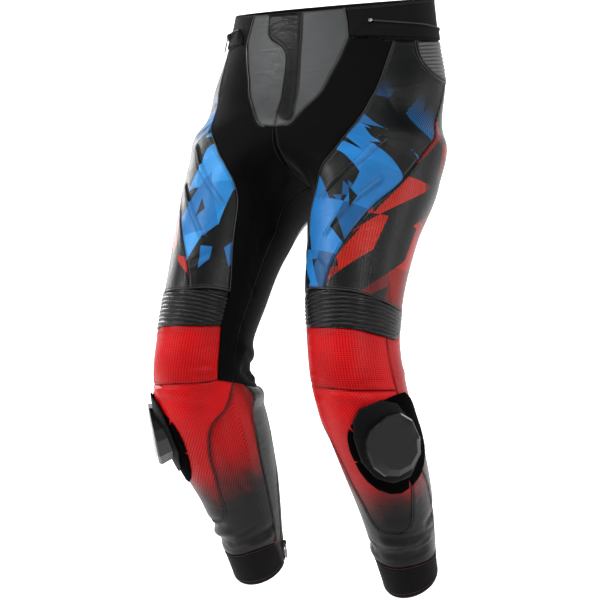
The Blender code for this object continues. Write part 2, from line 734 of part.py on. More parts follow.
def build_plate():
    add_panel("slider_plate", puck_flat(PLATE_SCALE), "slider", PLATE_WALL, lift=PLATE_LIFT,
              cuts=seam_cuts(*UNDER_KNEE))


def puck_frame():
    """The slider's middle and its own axes: across, down and out."""
    middle, out = surface(PUCK_THETA, PUCK_ALONG)
    down = surface(PUCK_THETA, PUCK_ALONG + 1)[0] - surface(PUCK_THETA, PUCK_ALONG - 1)[0]
    down -= out * np.dot(down, out)
    down /= np.linalg.norm(down)
    across = np.cross(out, down)
    if np.dot(across, surface(PUCK_THETA + 1, PUCK_ALONG)[0] - middle) < 0:
        across = -across
    return middle, across, down, out


def build_puck():
    """The curved underside follows the knee; the sides and the face are flat facets."""
    bm = flat_face(puck_flat(PUCK_FOOT))
    cut_grid(bm, BASE_ROWS, seam_cuts(*UNDER_KNEE))
    bmesh.ops.triangulate(bm, faces=bm.faces[:])
    bm.verts.index_update()
    theta = np.array([vertex.co.x for vertex in bm.verts])
    along = np.array([vertex.co.y for vertex in bm.verts])
    point, normal = surface(theta, along)
    points = list(point + normal * PUCK_LIFT)
    faces = [[vertex.index for vertex in face.verts] for face in bm.faces]
    rim = rim_order(bm)
    bm.free()
    middle, across, down, out = puck_frame()
    loops = [rim]
    for size, height, lean in ((PUCK_WIDEST, PUCK_SHOULDER, 0.0), (PUCK_FACE, PUCK_RISE, PUCK_LEAN)):
        scale = size / PUCK_FOOT
        loop = []
        for index in rim:
            drop = along[index] - PUCK_ALONG
            reach = math.radians(theta[index] - PUCK_THETA) * float(mean_radius(along[index]))
            loop.append(len(points))
            rise = height * (1 + PUCK_TILT * drop * scale / PUCK_HALF)
            points.append(middle + across * (reach * scale + lean) + down * drop * scale
                          + out * (PUCK_LIFT + rise))
        loops.append(loop)
    for low, high in zip(loops, loops[1:]):
        for i in range(len(rim)):
            j = (i + 1) % len(rim)
            faces += [[low[i], low[j], high[j]], [low[i], high[j], high[i]]]
    centre = len(points)
    points.append(middle + across * PUCK_LEAN + out * (PUCK_LIFT + PUCK_RISE))
    top = loops[-1]
    faces += [[top[i], top[(i + 1) % len(top)], centre] for i in range(len(top))]
    add_pair("slider_puck", np.array(points), faces, "slider")


def rim_order(bm):
    """Indices of the edge points of a flat mesh, in order."""
    start = next(edge for edge in bm.edges if edge.is_boundary)
    order = [start.verts[0], start.verts[1]]
    while True:
        step = [edge.other_vert(order[-1]) for edge in order[-1].link_edges if edge.is_boundary]
        onward = next(vertex for vertex in step if vertex is not order[-2])
        if onward is order[0]:
            return [vertex.index for vertex in order]
        order.append(onward)


# ---------------------------------------------------------------- zips
def sweep_strip(line, profile, place=surface):
    """A closed strip whose cross-section, in mm across and up, runs along a line on the surface."""
    points, faces = [], []
    size = len(profile)
    for theta, along in line:
        radius = float(mean_radius(along))
        for across, height in profile:
            point, normal = place(theta + math.degrees(across / radius), along)
            points.append(point + normal * height)
    for ring in range(len(line) - 1):
        for i in range(size):
            j = (i + 1) % size
            a, b, c, d = ring * size + i, ring * size + j, (ring + 1) * size + j, (ring + 1) * size + i
            faces += [[a, b, c], [a, c, d]]
    faces.append(list(range(size))[::-1])
    faces.append([(len(line) - 1) * size + i for i in range(size)])
    return np.array(points), faces


def build_calf_zip():
    line = zip_line(ZIP_TOP + SEAM_INSET, HEM - ZIP_STOP)
    edge = ZIP_GAP / 2 - SEAM_INSET * 2
    low, tape = -ZIP_SINK - ZIP_TAPE, -ZIP_SINK
    top = tape + TEETH_RISE
    profile = ((-edge, low), (-edge, tape), (-TEETH_HALF, tape), (-TEETH_HALF, top), (TEETH_HALF, top),
               (TEETH_HALF, tape), (edge, tape), (edge, low))
    points, faces = sweep_strip(line, profile)
    add_pair("calf_zip", points, faces, "zip")


def zip_line(start, end):
    line = SEAMS["calf zip"]
    stops = sorted({start, end} | {float(row) for row in rows_between(start, end, BASE_ROWS)}
                   | {float(along) for _, along in line if start < along < end})
    return [on_line(line, stop) for stop in stops]


SLIDER_WIDE = 8.0
SLIDER_LONG = 12.0
SLIDER_HEAD = 4.0        # part of its length above the hinge line
SLIDER_FLOOR = 1.8
SLIDER_EAR = 1.3
SLIDER_TALL = 5.0
PULL_THICK = 1.6
PULL_AXIS = 3.4          # hinge line above the slider's underside
PULL_HALF = (
    # half width and distance below the hinge line: a neck, then a wider rounded grip
    (2.3, -1.2), (2.3, 9.0), (3.5, 11.0), (3.5, 24.0), (2.5, 26.2), (0.9, 27.0),
)


def box_frame(origin, across, down, out):
    """Turns (across, down, out) in mm into points."""
    axes = np.array([across, down, out])
    return lambda corners: origin + np.array(corners, float) @ axes


def slider_shape():
    """Cross-section of a zip slider: a floor with an ear at each side."""
    w, e = SLIDER_WIDE / 2, SLIDER_EAR
    return ((-w, 0), (w, 0), (w, SLIDER_TALL), (w - e, SLIDER_TALL), (w - e, SLIDER_FLOOR),
            (e - w, SLIDER_FLOOR), (e - w, SLIDER_TALL), (-w, SLIDER_TALL))


def prism(profile, start, end, to_corner):
    """A closed prism from a profile and two distances."""
    size = len(profile)
    corners = [to_corner(p, start) for p in profile] + [to_corner(p, end) for p in profile]
    faces = [list(range(size))[::-1], list(range(size, 2 * size))]
    faces += [[i, (i + 1) % size, size + (i + 1) % size, size + i] for i in range(size)]
    return corners, faces


def build_slider_and_pull(name, frame, side):
    corners, faces = prism(slider_shape(), -SLIDER_HEAD, SLIDER_LONG - SLIDER_HEAD,
                           lambda p, d: (p[0], d, p[1]))
    mirror = MIRROR if side == "right" else np.ones(3)
    add_node(f"{name}_slider{side and '_' + side}", frame(corners) * mirror, faces, "metal", smooth=False)
    half = PULL_THICK / 2
    plan = PULL_HALF + tuple((-x, y) for x, y in PULL_HALF[::-1])
    corners, faces = prism(plan, PULL_AXIS - half, PULL_AXIS + half, lambda p, d: (p[0], p[1], d))
    add_node(f"{name}_pull{side and '_' + side}", frame(corners) * mirror, faces, "metal", smooth=False)


def slider_frame(place, here, lower, lift):
    """Axes of a slider that stands at one point of a surface and points to a lower one."""
    origin, out = place(*here)
    down = place(*lower)[0] - origin
    down -= out * np.dot(down, out)
    down /= np.linalg.norm(down)
    return box_frame(origin + out * lift, np.cross(down, out), down, out)


def calf_zip_frame():
    here, lower = (on_line(SEAMS["calf zip"], SLIDER_ALONG + drop) for drop in (0, PULL_DROP))
    return slider_frame(surface, here, lower, TEETH_RISE - ZIP_SINK + LAY_GAP)


def build_calf_sliders():
    frame = calf_zip_frame()
    for side in ("left", "right"):
        build_slider_and_pull("calf_zip", frame, side)


def build_jacket_strip():
    """Half of the jacket's joining zip, sewn round the waistband from hip to hip."""
    left = [(180 - bearing, top) for bearing, top, _ in JACKET_STRIP]
    right = [(180 + bearing, top) for bearing, top, _ in JACKET_STRIP]
    low_left = [(180 - bearing, low) for bearing, _, low in JACKET_STRIP]
    low_right = [(180 + bearing, low) for bearing, _, low in JACKET_STRIP]
    outline = chain(left[::-1], right[1:], low_right[::-1], low_left[1:])
    bends = [theta + 90 for name in ("band bottom front", "band bottom side", "band bottom back")
             for theta, _ in SEAMS[name]]
    cuts = [((bearing, 0), (bearing, HIP_TOP)) for side in bends for bearing in (side, 360 - side)]
    points, faces = wall_mesh(outline, BASE_ROWS, JACKET_WALL, lift=LAY_GAP + JACKET_WALL,
                              place=torso_surface, inset=0.0, cuts=cuts)
    add_node("jacket_zip", points, faces, "zip")


def jacket_zip_frame():
    """At the strip's end on the wearer's right, with the pull hanging down the waistband."""
    bearing, along = JACKET_SLIDER
    hang = (bearing, along + PULL_DROP)
    return slider_frame(torso_surface, JACKET_SLIDER, hang, 2 * LAY_GAP + JACKET_WALL)


def build_all():
    for thing in list(bpy.data.objects):
        bpy.data.objects.remove(thing, do_unlink=True)
    build_yoke()
    build_waistband()
    build_front_stretch()
    build_back_stretch()
    build_seat()
    build_thigh()
    build_outer_thigh()
    build_hip_accordion()
    build_knee_accordion()
    build_knee_upper()
    build_shin()
    build_calf_wrap()
    build_calf_side()
    build_calf_back()
    build_calf_placket()
    build_cuff()
    build_fly()
    build_felt()
    build_plate()
    build_puck()
    build_calf_zip()
    build_calf_sliders()
    build_jacket_strip()
    build_slider_and_pull("jacket_zip", jacket_zip_frame(), "")


build_all()
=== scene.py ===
"""Leather motorcycle trousers, filled out as if worn: the finish of every panel, seam and fitting.

Each leg is one bent tube.  A point on it has two numbers: theta, the angle round the section in degrees
(0 outer side, -90 front, +90 back, 180 inner side), and along, the distance down the outer side in mm.
A panel is cut flat in those two numbers, divided into cells and laid on the tube, with its own relief.
Its UV map holds the unrolled panel in mm, so that grain, holes and prints keep their real size.
"""

import math

import bmesh
import bpy
import numpy as np
from mathutils import Matrix, Vector


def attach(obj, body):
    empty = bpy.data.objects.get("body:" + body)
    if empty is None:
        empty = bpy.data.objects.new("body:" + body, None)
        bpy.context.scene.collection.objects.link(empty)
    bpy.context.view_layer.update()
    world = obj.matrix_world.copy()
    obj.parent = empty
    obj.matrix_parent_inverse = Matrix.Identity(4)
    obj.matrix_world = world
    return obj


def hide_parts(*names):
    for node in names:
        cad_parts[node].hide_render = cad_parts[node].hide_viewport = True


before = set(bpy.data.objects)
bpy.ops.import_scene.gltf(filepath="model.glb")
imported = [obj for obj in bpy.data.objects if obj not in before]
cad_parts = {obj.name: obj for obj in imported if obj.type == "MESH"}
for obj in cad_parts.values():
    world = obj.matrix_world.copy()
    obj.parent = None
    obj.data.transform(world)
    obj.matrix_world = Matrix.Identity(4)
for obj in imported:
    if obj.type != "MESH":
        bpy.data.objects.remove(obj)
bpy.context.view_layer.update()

MM = 0.001
BODY = "trousers"

# ---------------------------------------------------------------- driving sizes, mm
LEATHER = 2.0            # wall of the cowhide panels
STRETCH = 1.6            # wall of the stretch fabric panels
BAND = 2.4               # wall of the doubled waistband
CUFF = 2.0               # wall of the ribbed ankle cuff
LAY_GAP = 0.5            # between a panel and what lies on it
CELL = 3.2         # side of a panel's cells
TUCK_CELL = 1.7    # the same where the tucks cross it
RIB_ROW = 0.9      # height of the cells on a ribbed panel
FLY_WALL = 2.0
FELT_WALL = 2.2
PLATE_WALL = 2.0

RIB_COUNT = 10           # ribs of each accordion panel
RIB_RISE = 1.8           # a rib's crest above the panel's face, and its valleys below it
RIB_SINK = 0.6
TUCK_RISE = 2.4          # raised tucks on the thigh
TUCK_HALF = 4.0          # half width of a tuck
TUCK_ROUND = 2.2         # half width of its rounded crest
TUCK_GROOVE = 0.9        # depth and half width of the groove along its foot
TUCK_GROOVE_HALF = 1.3
TUCK_FADE = 0.1          # share of its length over which its ends fade, from a little past them
TUCK_OVER = 0.02
HIP_RIBS = (66.0, 130.0)     # first and last rib's outer edges, along
KNEE_RIBS = (488.0, 548.0)

ZIP_GAP = 7.0            # opening between the leather edges beside a calf zip
ZIP_TAPE_THICK = 1.0
ZIP_SINK = 1.2           # tape below the leather's face
TEETH_RISE = 1.4         # teeth above the tape

HEM = 944.0
ZIP_TOP = 619.0          # calf zip's upper end
ZIP_STOP = 8.0           # its lower end stands this far above the hem
CUFF_SEAM = 896.0        # where the cuff's top seam meets the zip
CROTCH_FRONT = 232.0     # where the yoke's point meets the centre front seam
SEAT_POINT = 262.0       # where the seat panel's point meets the centre back seam
SLIDER_ALONG = 904.0     # where the calf zip's slider stands
HIP_TOP = 68.0           # hip accordion's upper and lower seams at the back
HIP_FOOT = 131.0
WAIST_CORNER = -54.0     # theta at which the yoke meets the waistband on the rim

# ---------------------------------------------------------------- the form
LEVEL_COLUMNS = ("along", "x", "y", "z", "out", "inn", "front", "back", "pitch", "roll", "yaw", "square")
LEVELS = (
    # level     along   x     y     z   out  inn front back pitch roll yaw square
    ("waist",     0,   0,    0,    18, 162, 162, 122, 122,  10,   0,   0, 2.2),
    ("band",     60,   0,   -6,   -41, 172, 172, 127, 126,   8,   0,   0, 2.2),
    ("hip",     150,   0,  -22,  -125, 190, 190, 133, 137,   2,   0,   0, 2.2),
    ("seat",    225,  12,  -44,  -195, 190, 190, 136, 138,  -8,   2,   0, 2.2),
    ("crotch",  290,  80,  -73,  -262, 128,  80, 112, 124, -16,   6,   5, 2.1),
    ("thigh",   380, 110, -119,  -345,  90,  76,  93,  96, -20,   6,   7, 2.0),
    ("lower",   470, 119, -153,  -430,  76,  69,  84,  84, -18,   5,   8, 2.0),
    ("above",   550, 129, -171,  -505,  70,  66,  79,  77, -12,   4,  11, 2.0),
    ("hollow",  605, 134, -168,  -560,  72,  66,  83,  80,  -5,   3,  14, 2.0),
    ("knee",    645, 137, -158,  -598,  72,  64,  82,  96,   4,   2,  18, 2.0),
    ("below",   710, 140, -120,  -660,  69,  60,  76,  93,  18,   0,  20, 2.0),
    ("calf",    800, 139,  -60,  -745,  58,  55,  63,  71,  26,   0,  16, 2.0),
    ("ankle",   900, 137,  -18,  -835,  47,  46,  48,  50,  30,   0,  12, 2.0),
    ("hem",     944, 137,   -1,  -871,  43,  43,  44,  45,  38,   0,  10, 2.0),
)

# Large folds: a ridge (rise over 0) or a trough along a straight line on the unrolled leg.
FOLDS = (
    # fold              rise half_width theta0 along0 theta1 along1
    ("knee crease 1",   -3.0,   7.0,   -138,   621,   -52,  619),
    ("knee crease 2",   -2.5,   6.0,   -132,   636,   -84,  636),
    ("knee swell",       2.5,   8.0,   -134,   629,   -60,  628),
    ("hollow fold 1",   -4.0,   8.0,   -190,   584,  -236,  604),
    ("hollow fold 2",   -4.5,   9.0,     70,   586,   140,  576),
    ("hollow roll",      5.0,  10.0,     66,   600,   150,  600),
    ("hollow bulge",     5.0,  14.0,    100,   562,   186,  556),
    ("calf top roll",    9.0,  19.0,     88,   632,   176,  632),
    ("ankle fold 1",    -3.0,   6.0,   -112,   826,   -30,  846),
    ("ankle roll 1",     3.0,   7.0,   -118,   838,   -36,  858),
    ("ankle fold 2",    -3.5,   6.0,   -116,   862,   -20,  868),
    ("ankle fold 3",    -3.0,   6.0,   -196,   856,  -126,  860),
    ("ankle roll 3",     2.5,   7.0,   -190,   869,  -120,  872),
    ("ankle fold 4",    -3.0,   6.0,    -40,   830,    40,  822),
    ("ankle fold 5",    -3.0,   6.0,     60,   850,   130,  838),
    ("groin fold",      -4.0,  12.0,   -176,   384,  -140,  345),
)

# Tucks: narrow raised lines that cross the thigh panel.
TUCKS = (
    # tuck      theta0 along0 theta1 along1
    ("upper",    -38,   258,  -110,  358),
    ("lower",    -50,   322,  -104,  414),
)

# ---------------------------------------------------------------- seams, as (theta, along)
SEAMS = {
    "band end": ((WAIST_CORNER, 0), (-52, 25), (-51, 48)),
    "yoke edge": ((-51, 48), (-53, 66), (-56, 90), (-60, 118), (-63, 146), (-70, 183), (-76.5, 210),
                  (-83, 226), (-90, CROTCH_FRONT)),
    "band bottom front": ((-51, 48), (-44, 49), (-35, 55), (-26, 60)),
    "band bottom side": ((-26, 60), (-12, 63)),
    "band bottom back": ((-12, 63), (0, 66), (18, HIP_TOP), (90, HIP_TOP)),
    "thigh front": ((-26, 60), (-30, 94), (-33, 128), (-36, 165), (-40, 206), (-46, 232), (-53, 246),
                    (-75, 275), (-96, 299), (-110, 320), (-121, 345), (-128, 376), (-138, 432),
                    (-147, 479)),
    "hip rib front": ((-12, 63), (-11, 88), (-8, 105), (-3, 118), (5, 127), (17, 130)),
    "hip rib side": ((17, 130), (48, HIP_FOOT)),
    "hip rib back": ((48, HIP_FOOT), (90, HIP_FOOT)),
    "diagonal": ((17, 130), (11, 142), (8, 165), (3, 200), (-5, 243), (-15, 273), (-28, 306),
                 (-39, 334), (-51, 357), (-61, 378), (-73, 404), (-82, 426), (-92, 454), (-102, 490)),
    "side back upper": ((48, HIP_FOOT), (50, 200), (50, 300), (47, 400), (46, 494)),
    "side back middle": ((46, 494), (49, 522)),
    "side back lower": ((49, 522), (54, 560), (62, 612)),
    "knee rib top inner": ((-147, 479), (-124, 483), (-102, 490)),
    "knee rib top outer": ((-102, 490), (-83, 493), (-62, 495), (-37, 499), (-11, 501), (22, 496)),
    "knee rib end": ((22, 496), (20, 512), (16, 527), (3, 541), (-10, 548), (-28, 549)),
    "knee rib bottom": ((-28, 549), (-39, 549), (-67, 545), (-103, 542), (-126, 538), (-150, 531)),
    "knee rib inner": ((-147, 479), (-150, 531)),
    "outer thigh bottom": ((22, 496), (46, 494)),
    "seat edge": ((49, 522), (75, 528), (105, 528), (118, 518), (124, 500), (128, 440), (130, 390),
                  (129, 350), (122, 318), (112, 296), (104, 280), (109, SEAT_POINT)),
    "knee upper inner": ((-150, 531), (-153, 556), (-154, 585), (-155, 608)),
    "knee seam": ((-28, 621), (-53, 621), (-76, 621), (-96, 619), (-132, 614), (-155, 608)),
    "knee seam inner": ((-155, 608), (-180, 610)),
    "outer vertical": ((-28, 549), (-29, 585), (-28, 621)),
    "shin edge": ((-180, 610), (-174, 638), (-165, 654), (-151, 664), (-141, 676), (-134, 694),
                  (-129, 718), (-126, 741), (-120, 768), (-114, 800), (-108, 813), (-98, 822),
                  (-84, 827), (-70, 826), (-60, 817), (-53, 799), (-48, 770), (-40, 735), (-33, 705)),
    "shin outer": ((-33, 705), (-29, 670), (-28, 621)),
    "outer calf": ((-33, 705), (-22, 742), (-11, 770), (-6, 800), (-1, 836), (10, 868), (16, 899)),
    "knee hollow inner": ((180, 610), (162, 612)),
    "inner calf": ((162, 612), (150, 627), (145, 645), (148, 668), (150, 711), (156, 742), (163, 774),
                   (169, 807), (171, 843), (174, 870), (176, 888)),
    "calf top back": ((62, 612), (75, 618), (90, 621)),
    "side back calf": ((62, 612), (66, 650), (69, 700), (69, 760), (66, 830), (62, 900)),
    "cuff top": ((16, 899), (-23, 896), (-58, 890), (-86, 888), (-107, 886), (-134, 882), (-159, 883),
                 (-184, 888)),
    "cuff top side": ((16, 899), (40, 901), (62, 900)),
    "cuff top back": ((62, 900), (100, 898), (151, 896)),
    "placket foot": ((176, 888), (169, 916), (164, HEM)),
    "calf zip": ((119, 619), (110, 651), (108, 717), (114, 768), (132, 808), (141, 850), (150, 896),
                 (151, 922), (151, HEM)),
}

FLY_OUTLINE = (
    # bearing from centre front in degrees (+ is the wearer's left), along in mm
    (6, 2), (7, 45), (8, 90), (9.5, 135), (11, 180), (11, 205), (8, 219), (4, 222), (1, 216), (0, 200),
    (0, 180), (-1, 135), (-2, 90), (-3, 74), (-6, 62), (-12, 52), (-17, 45), (-20, 36), (-21, 20),
    (-22, 2),
)
FELT_OUTLINE = (
    # theta, along; three notches let the patch bend with the knee
    (-11, 624), (8, 634), (19, 648), (21, 672), (19, 698), (9, 720), (-12, 738), (-30, 749), (-46, 755),
    (-49, 742), (-50.5, 756), (-62, 759), (-76, 755), (-89, 745), (-98, 732), (-103, 717), (-104.5, 706),
    (-98.5, 704), (-105, 702.5), (-105.5, 690), (-103.5, 677), (-100, 668), (-97.5, 664), (-92, 670),
    (-94.5, 660), (-75, 643.5), (-55, 633), (-33, 627),
)
PUCK_THETA = -60.0
PUCK_ALONG = 684.5
PUCK_OUTLINE = (
    # across (towards the back) and down from the slider's middle, in mm
    (-26, -42), (4, -50), (28, -44), (42, -24), (44, 8), (36, 34), (14, 50), (-12, 50), (-32, 38),
    (-44, 16), (-44, -12), (-38, -30),
)
PUCK_HALF = 50.0         # half its height
PUCK_TILT = 0.75         # share by which its bottom edge is higher, and its top edge lower
PUCK_RINGS = (
    # size over the outline's, height in mm, lean towards the back in mm
    (0.88,  0.0, 0.0),   # underside
    (0.95,  8.0, 0.0),   # shoulder
    (0.90, 10.4, 0.6),   # brow
    (0.70, 13.0, 3.0),   # face
)
PUCK_SOFT = 0.6          # bevel of its edges
PUCK_SHARP = 4.0         # degrees past which its facets keep a sharp edge
PLATE_SCALE = 1.06
PLATE_GAP = 1.2

JACKET_STRIP = (
    # bearing from centre back in degrees, top along, bottom along, for each half of the strip
    (0, 46, 66), (45, 46, 66), (72, 46, 66), (99, 36, 59), (112, 31, 56), (130, 23, 50), (137, 36, 50),
)
JACKET_WALL = 1.8
JACKET_SLIDER = (296.0, 35.0)    # bearing and along of its slider
PULL_DROP = 10.0         # along, between a slider and the point that its pull points to


# ---------------------------------------------------------------- the surface
def level_slopes(table):
    """Slope of every column at every level, so that the tube is smooth through its levels."""
    along = table[:, 0]
    spans = np.diff(along)
    chords = np.diff(table, axis=0) / spans[:, None]
    slopes = np.zeros_like(table)
    slopes[0], slopes[-1] = chords[0], chords[-1]
    slopes[1:-1] = (chords[:-1] * spans[1:, None] + chords[1:] * spans[:-1, None])
    slopes[1:-1] /= (spans[1:] + spans[:-1])[:, None]
    slopes[1:-1][(chords[:-1] == 0) | (chords[1:] == 0)] = 0
    return slopes


TABLE = np.array([row[1:] for row in LEVELS], float)
SLOPES = level_slopes(TABLE)


def hermite(table, slopes, where):
    """A table's columns at any value of its first one, on a smooth line through its rows."""
    stops = table[:, 0]
    k = np.clip(np.searchsorted(stops, where, side="right") - 1, 0, len(stops) - 2)
    span = stops[k + 1] - stops[k]
    t = ((where - stops[k]) / span)[..., None]
    span = span[..., None]
    low = (2 * t**3 - 3 * t**2 + 1) * table[k] + (t**3 - 2 * t**2 + t) * span * slopes[k]
    high = (3 * t**2 - 2 * t**3) * table[k + 1] + (t**3 - t**2) * span * slopes[k + 1]
    return low + high


def level_at(along):
    """The level columns at any distance along the leg."""
    return hermite(TABLE, SLOPES, along)


def tube_point(theta, along):
    """Points of the smooth left half, with no folds."""
    theta, along = np.broadcast_arrays(np.asarray(theta, float), np.asarray(along, float))
    row = level_at(along)
    column = {name: row[..., i] for i, name in enumerate(LEVEL_COLUMNS)}
    angle = np.radians(theta)
    c, s = np.cos(angle), np.sin(angle)
    half_x = np.where(c >= 0, column["out"], column["inn"])
    half_y = np.where(s < 0, column["front"], column["back"])
    power = column["square"]
    radius = (np.abs(c / half_x)**power + np.abs(s / half_y)**power)**(-1 / power)
    yaw, pitch, roll = (np.radians(column[name]) for name in ("yaw", "pitch", "roll"))
    x = radius * (c * np.cos(yaw) - s * np.sin(yaw))
    y = radius * (c * np.sin(yaw) + s * np.cos(yaw))
    z = y * np.sin(pitch) + x * np.sin(roll)
    return np.stack([column["x"] + x * np.cos(roll), column["y"] + y * np.cos(pitch), column["z"] + z], -1)


def tube_normal(theta, along, step=0.5):
    """Outward unit normals of the smooth tube."""
    along = np.clip(np.asarray(along, float), step, HEM - step)
    round_way = tube_point(theta + step, along) - tube_point(theta - step, along)
    down_way = tube_point(theta, along + step) - tube_point(theta, along - step)
    normal = np.cross(down_way, round_way)
    return normal / np.linalg.norm(normal, axis=-1, keepdims=True)


def mean_radius(along):
    """Mean half width of the section, in mm."""
    row = level_at(np.asarray(along, float))
    return (row[..., 4] + row[..., 5] + row[..., 6] + row[..., 7]) / 4


def degrees_for(distance, along):
    """The change of theta that moves a point by a distance in mm."""
    return math.degrees(distance / float(mean_radius(along)))


def line_reach(theta, along, start, end):
    """Distance in mm from a line on the unrolled leg, and how far along it, 0 to 1."""
    radius = mean_radius((start[1] + end[1]) / 2)
    middle = (start[0] + end[0]) / 2
    offset = (np.asarray(theta, float) - middle + 180) % 360 - 180
    u = np.radians(offset) * radius
    ua, ub = (math.radians(end_theta - middle) * radius for end_theta in (start[0], end[0]))
    direction = np.array([ub - ua, end[1] - start[1]])
    length = np.hypot(*direction)
    direction /= length
    run = (u - ua) * direction[0] + (along - start[1]) * direction[1]
    side = (u - ua) * direction[1] - (along - start[1]) * direction[0]
    return side, run / length


def smooth_step(t):
    t = np.clip(t, 0, 1)
    return t * t * (3 - 2 * t)


FOLD_FADE = 0.25         # share of its length over which a fold's end fades out
CREASE_FADE = 0.3        # the same for a crease


def faded_ends(run, share):
    return smooth_step(run / share) * smooth_step((1 - run) / share)


def fold_height(theta, along):
    """How far the large folds raise the surface, in mm."""
    total = np.zeros(np.broadcast(theta, along).shape)
    for _, rise, half, theta0, along0, theta1, along1 in FOLDS:
        side, run = line_reach(theta, along, (theta0, along0), (theta1, along1))
        total = total + rise * faded_ends(run, FOLD_FADE) * np.exp(-(side / half)**2)
    return total


def surface(theta, along):
    """Points of the folded outer surface and the tube's normals there."""
    theta, along = np.asarray(theta, float), np.asarray(along, float)
    normal = tube_normal(theta, along)
    return tube_point(theta, along) + normal * fold_height(theta, along)[..., None], normal


def torso_surface(bearing, along):
    """The same, by bearing from centre front, positive on the wearer's left."""
    turn = (np.asarray(bearing, float) + 180) % 360 - 180
    point, normal = surface(np.abs(turn) - 90, along)
    flip = np.where(turn < 0, -1.0, 1.0)[..., None] * np.array([1.0, 0, 0]) + np.array([0, 1.0, 1.0])
    return point * flip, normal * flip


HALVINGS = 40            # of a search for where the tube crosses the middle plane


def halved(inside, outside, is_inside):
    """Narrows the stretch between a value inside and one outside, and returns its two ends."""
    for _ in range(HALVINGS):
        middle = (inside + outside) / 2
        if is_inside(middle):
            inside = middle
        else:
            outside = middle
    return inside, outside


# Where the inner side first leaves the middle plane.
CROTCH = halved(225.0, 300.0, lambda along: tube_point(180.0, along)[0] < 0)[1]


def middle_theta(along, sign):
    """Angle at which the half section meets the middle plane, in front (-1) or behind (+1)."""
    return halved(sign * 45.0, sign * 180.0, lambda theta: tube_point(theta, along)[0] > 0)[0]


# ---------------------------------------------------------------- outlines
CENTRE_STEP = 12.0       # between the points down a middle seam


def centre_line(start, end, sign):
    """Points down the centre front (-1) or centre back (+1) seam, from start to end along."""
    stops = stops_between(start, end, CENTRE_STEP)
    points = [(middle_theta(stop, sign), stop) for stop in [start] + stops]
    last = sign * 180.0 if end >= CROTCH else middle_theta(end, sign)
    return points + [(last, end)]


def smooth_line(points, step):
    """A smooth line through points on the leg, as (theta, along) in steps of about so many mm."""
    points = np.array(points, float)
    radius = mean_radius(points[:, 1])
    moves = np.diff(points, axis=0)
    lengths = np.hypot(np.radians(moves[:, 0]) * (radius[1:] + radius[:-1]) / 2, moves[:, 1])
    table = np.column_stack([np.concatenate([[0.0], np.cumsum(lengths)]), points])
    count = max(2, round(table[-1, 0] / step))
    line = hermite(table, level_slopes(table), np.linspace(0.0, table[-1, 0], count + 1))[:, 1:]
    return [(float(theta), float(along)) for theta, along in line]


SEAM_STEP = 7.0          # mm between the points of a seam


def seam(name, turn=0.0):
    """The points of a seam, turned by a whole turn where a panel reaches past theta's ends."""
    return [(theta + turn, along) for theta, along in smooth_line(SEAMS[name], SEAM_STEP)]


def seam_snapped(name):
    """A seam whose last point lies on the middle plane."""
    points = seam(name)
    theta, along = points[-1]
    return points[:-1] + [(middle_theta(along, math.copysign(1, theta)), along)]


def zip_edge(side, start=None, end=HEM):
    """The calf zip's line moved half the zip gap towards the front (+1) or the back (-1)."""
    points = [(theta + degrees_for(side * ZIP_GAP / 2, along), along)
              for theta, along in smooth_line(SEAMS["calf zip"], SEAM_STEP)]
    if start is None:
        return [point for point in points if point[1] <= end]
    kept = [point for point in points if start < point[1] < end]
    return [on_line(points, start)] + kept + [on_line(points, end)]


def on_line(points, along):
    stops = [point[1] for point in points]
    return (float(np.interp(along, stops, [point[0] for point in points])), along)


SAME_POINT = 0.05        # nearer points of an outline count as one


def chain(*parts):
    """Joins runs of points into one closed outline, dropping repeated points."""
    outline = []
    for part in parts:
        for point in part:
            if not outline or math.dist(point, outline[-1]) > SAME_POINT:
                outline.append(point)
    if math.dist(outline[0], outline[-1]) < SAME_POINT:
        outline.pop()
    return outline


def joined(*parts):
    """A panel's outline from lists of points and names of seams, with "-" before one run backwards."""
    return chain(*[part if isinstance(part, list) else seam(part[1:])[::-1] if part[0] == "-"
                   else seam(part) for part in parts])


# ---------------------------------------------------------------- panels
def of_kind(items, kind):
    return [item for item in items if isinstance(item, kind)]


def cut_into_cells(bm, faces, axis, stops, snap):
    """Cuts flat faces by lines across one axis, halving the list of lines each time."""
    if not stops or not faces:
        return
    middle = len(stops) // 2
    point, normal = Vector(), Vector()
    point[axis], normal[axis] = stops[middle], 1
    edges = {edge for face in faces for edge in face.edges}
    verts = {vertex for face in faces for vertex in face.verts}
    cut = bmesh.ops.bisect_plane(bm, geom=[*verts, *edges, *faces], dist=snap, plane_co=point,
                                 plane_no=normal)
    whole = of_kind(cut["geom"], bmesh.types.BMFace)
    low = [face for face in whole if face.calc_center_median()[axis] < stops[middle]]
    high = [face for face in whole if face.calc_center_median()[axis] >= stops[middle]]
    cut_into_cells(bm, low, axis, stops[:middle], snap)
    cut_into_cells(bm, high, axis, stops[middle + 1:], snap)


def stops_between(low, high, step):
    """Evenly spaced values between two ends, about a step apart."""
    count = max(1, round((high - low) / step))
    return [low + (high - low) * i / count for i in range(1, count)]


CELL_SNAP = 0.2          # share of a cell's side within which a cut moves onto a point that is there


def flat_cells(outline, row_step, column_step):
    """One flat face with the outline's points, divided into cells; theta is x and along is y."""
    bm = bmesh.new()
    bm.faces.new([bm.verts.new((theta, along, 0)) for theta, along in outline])
    thetas, alongs = zip(*outline)
    degrees = degrees_for(column_step, sum(alongs) / len(alongs))
    for axis, values, step in ((1, alongs, row_step), (0, thetas, degrees)):
        stops = stops_between(min(values), max(values), step)
        cut_into_cells(bm, bm.faces[:], axis, stops, step * CELL_SNAP)
    bmesh.ops.triangulate(bm, faces=[face for face in bm.faces if len(face.verts) > 4])
    bm.normal_update()
    if bm.faces[:][0].normal.z < 0:
        bmesh.ops.reverse_faces(bm, faces=bm.faces[:])
    bm.verts.index_update()
    return bm


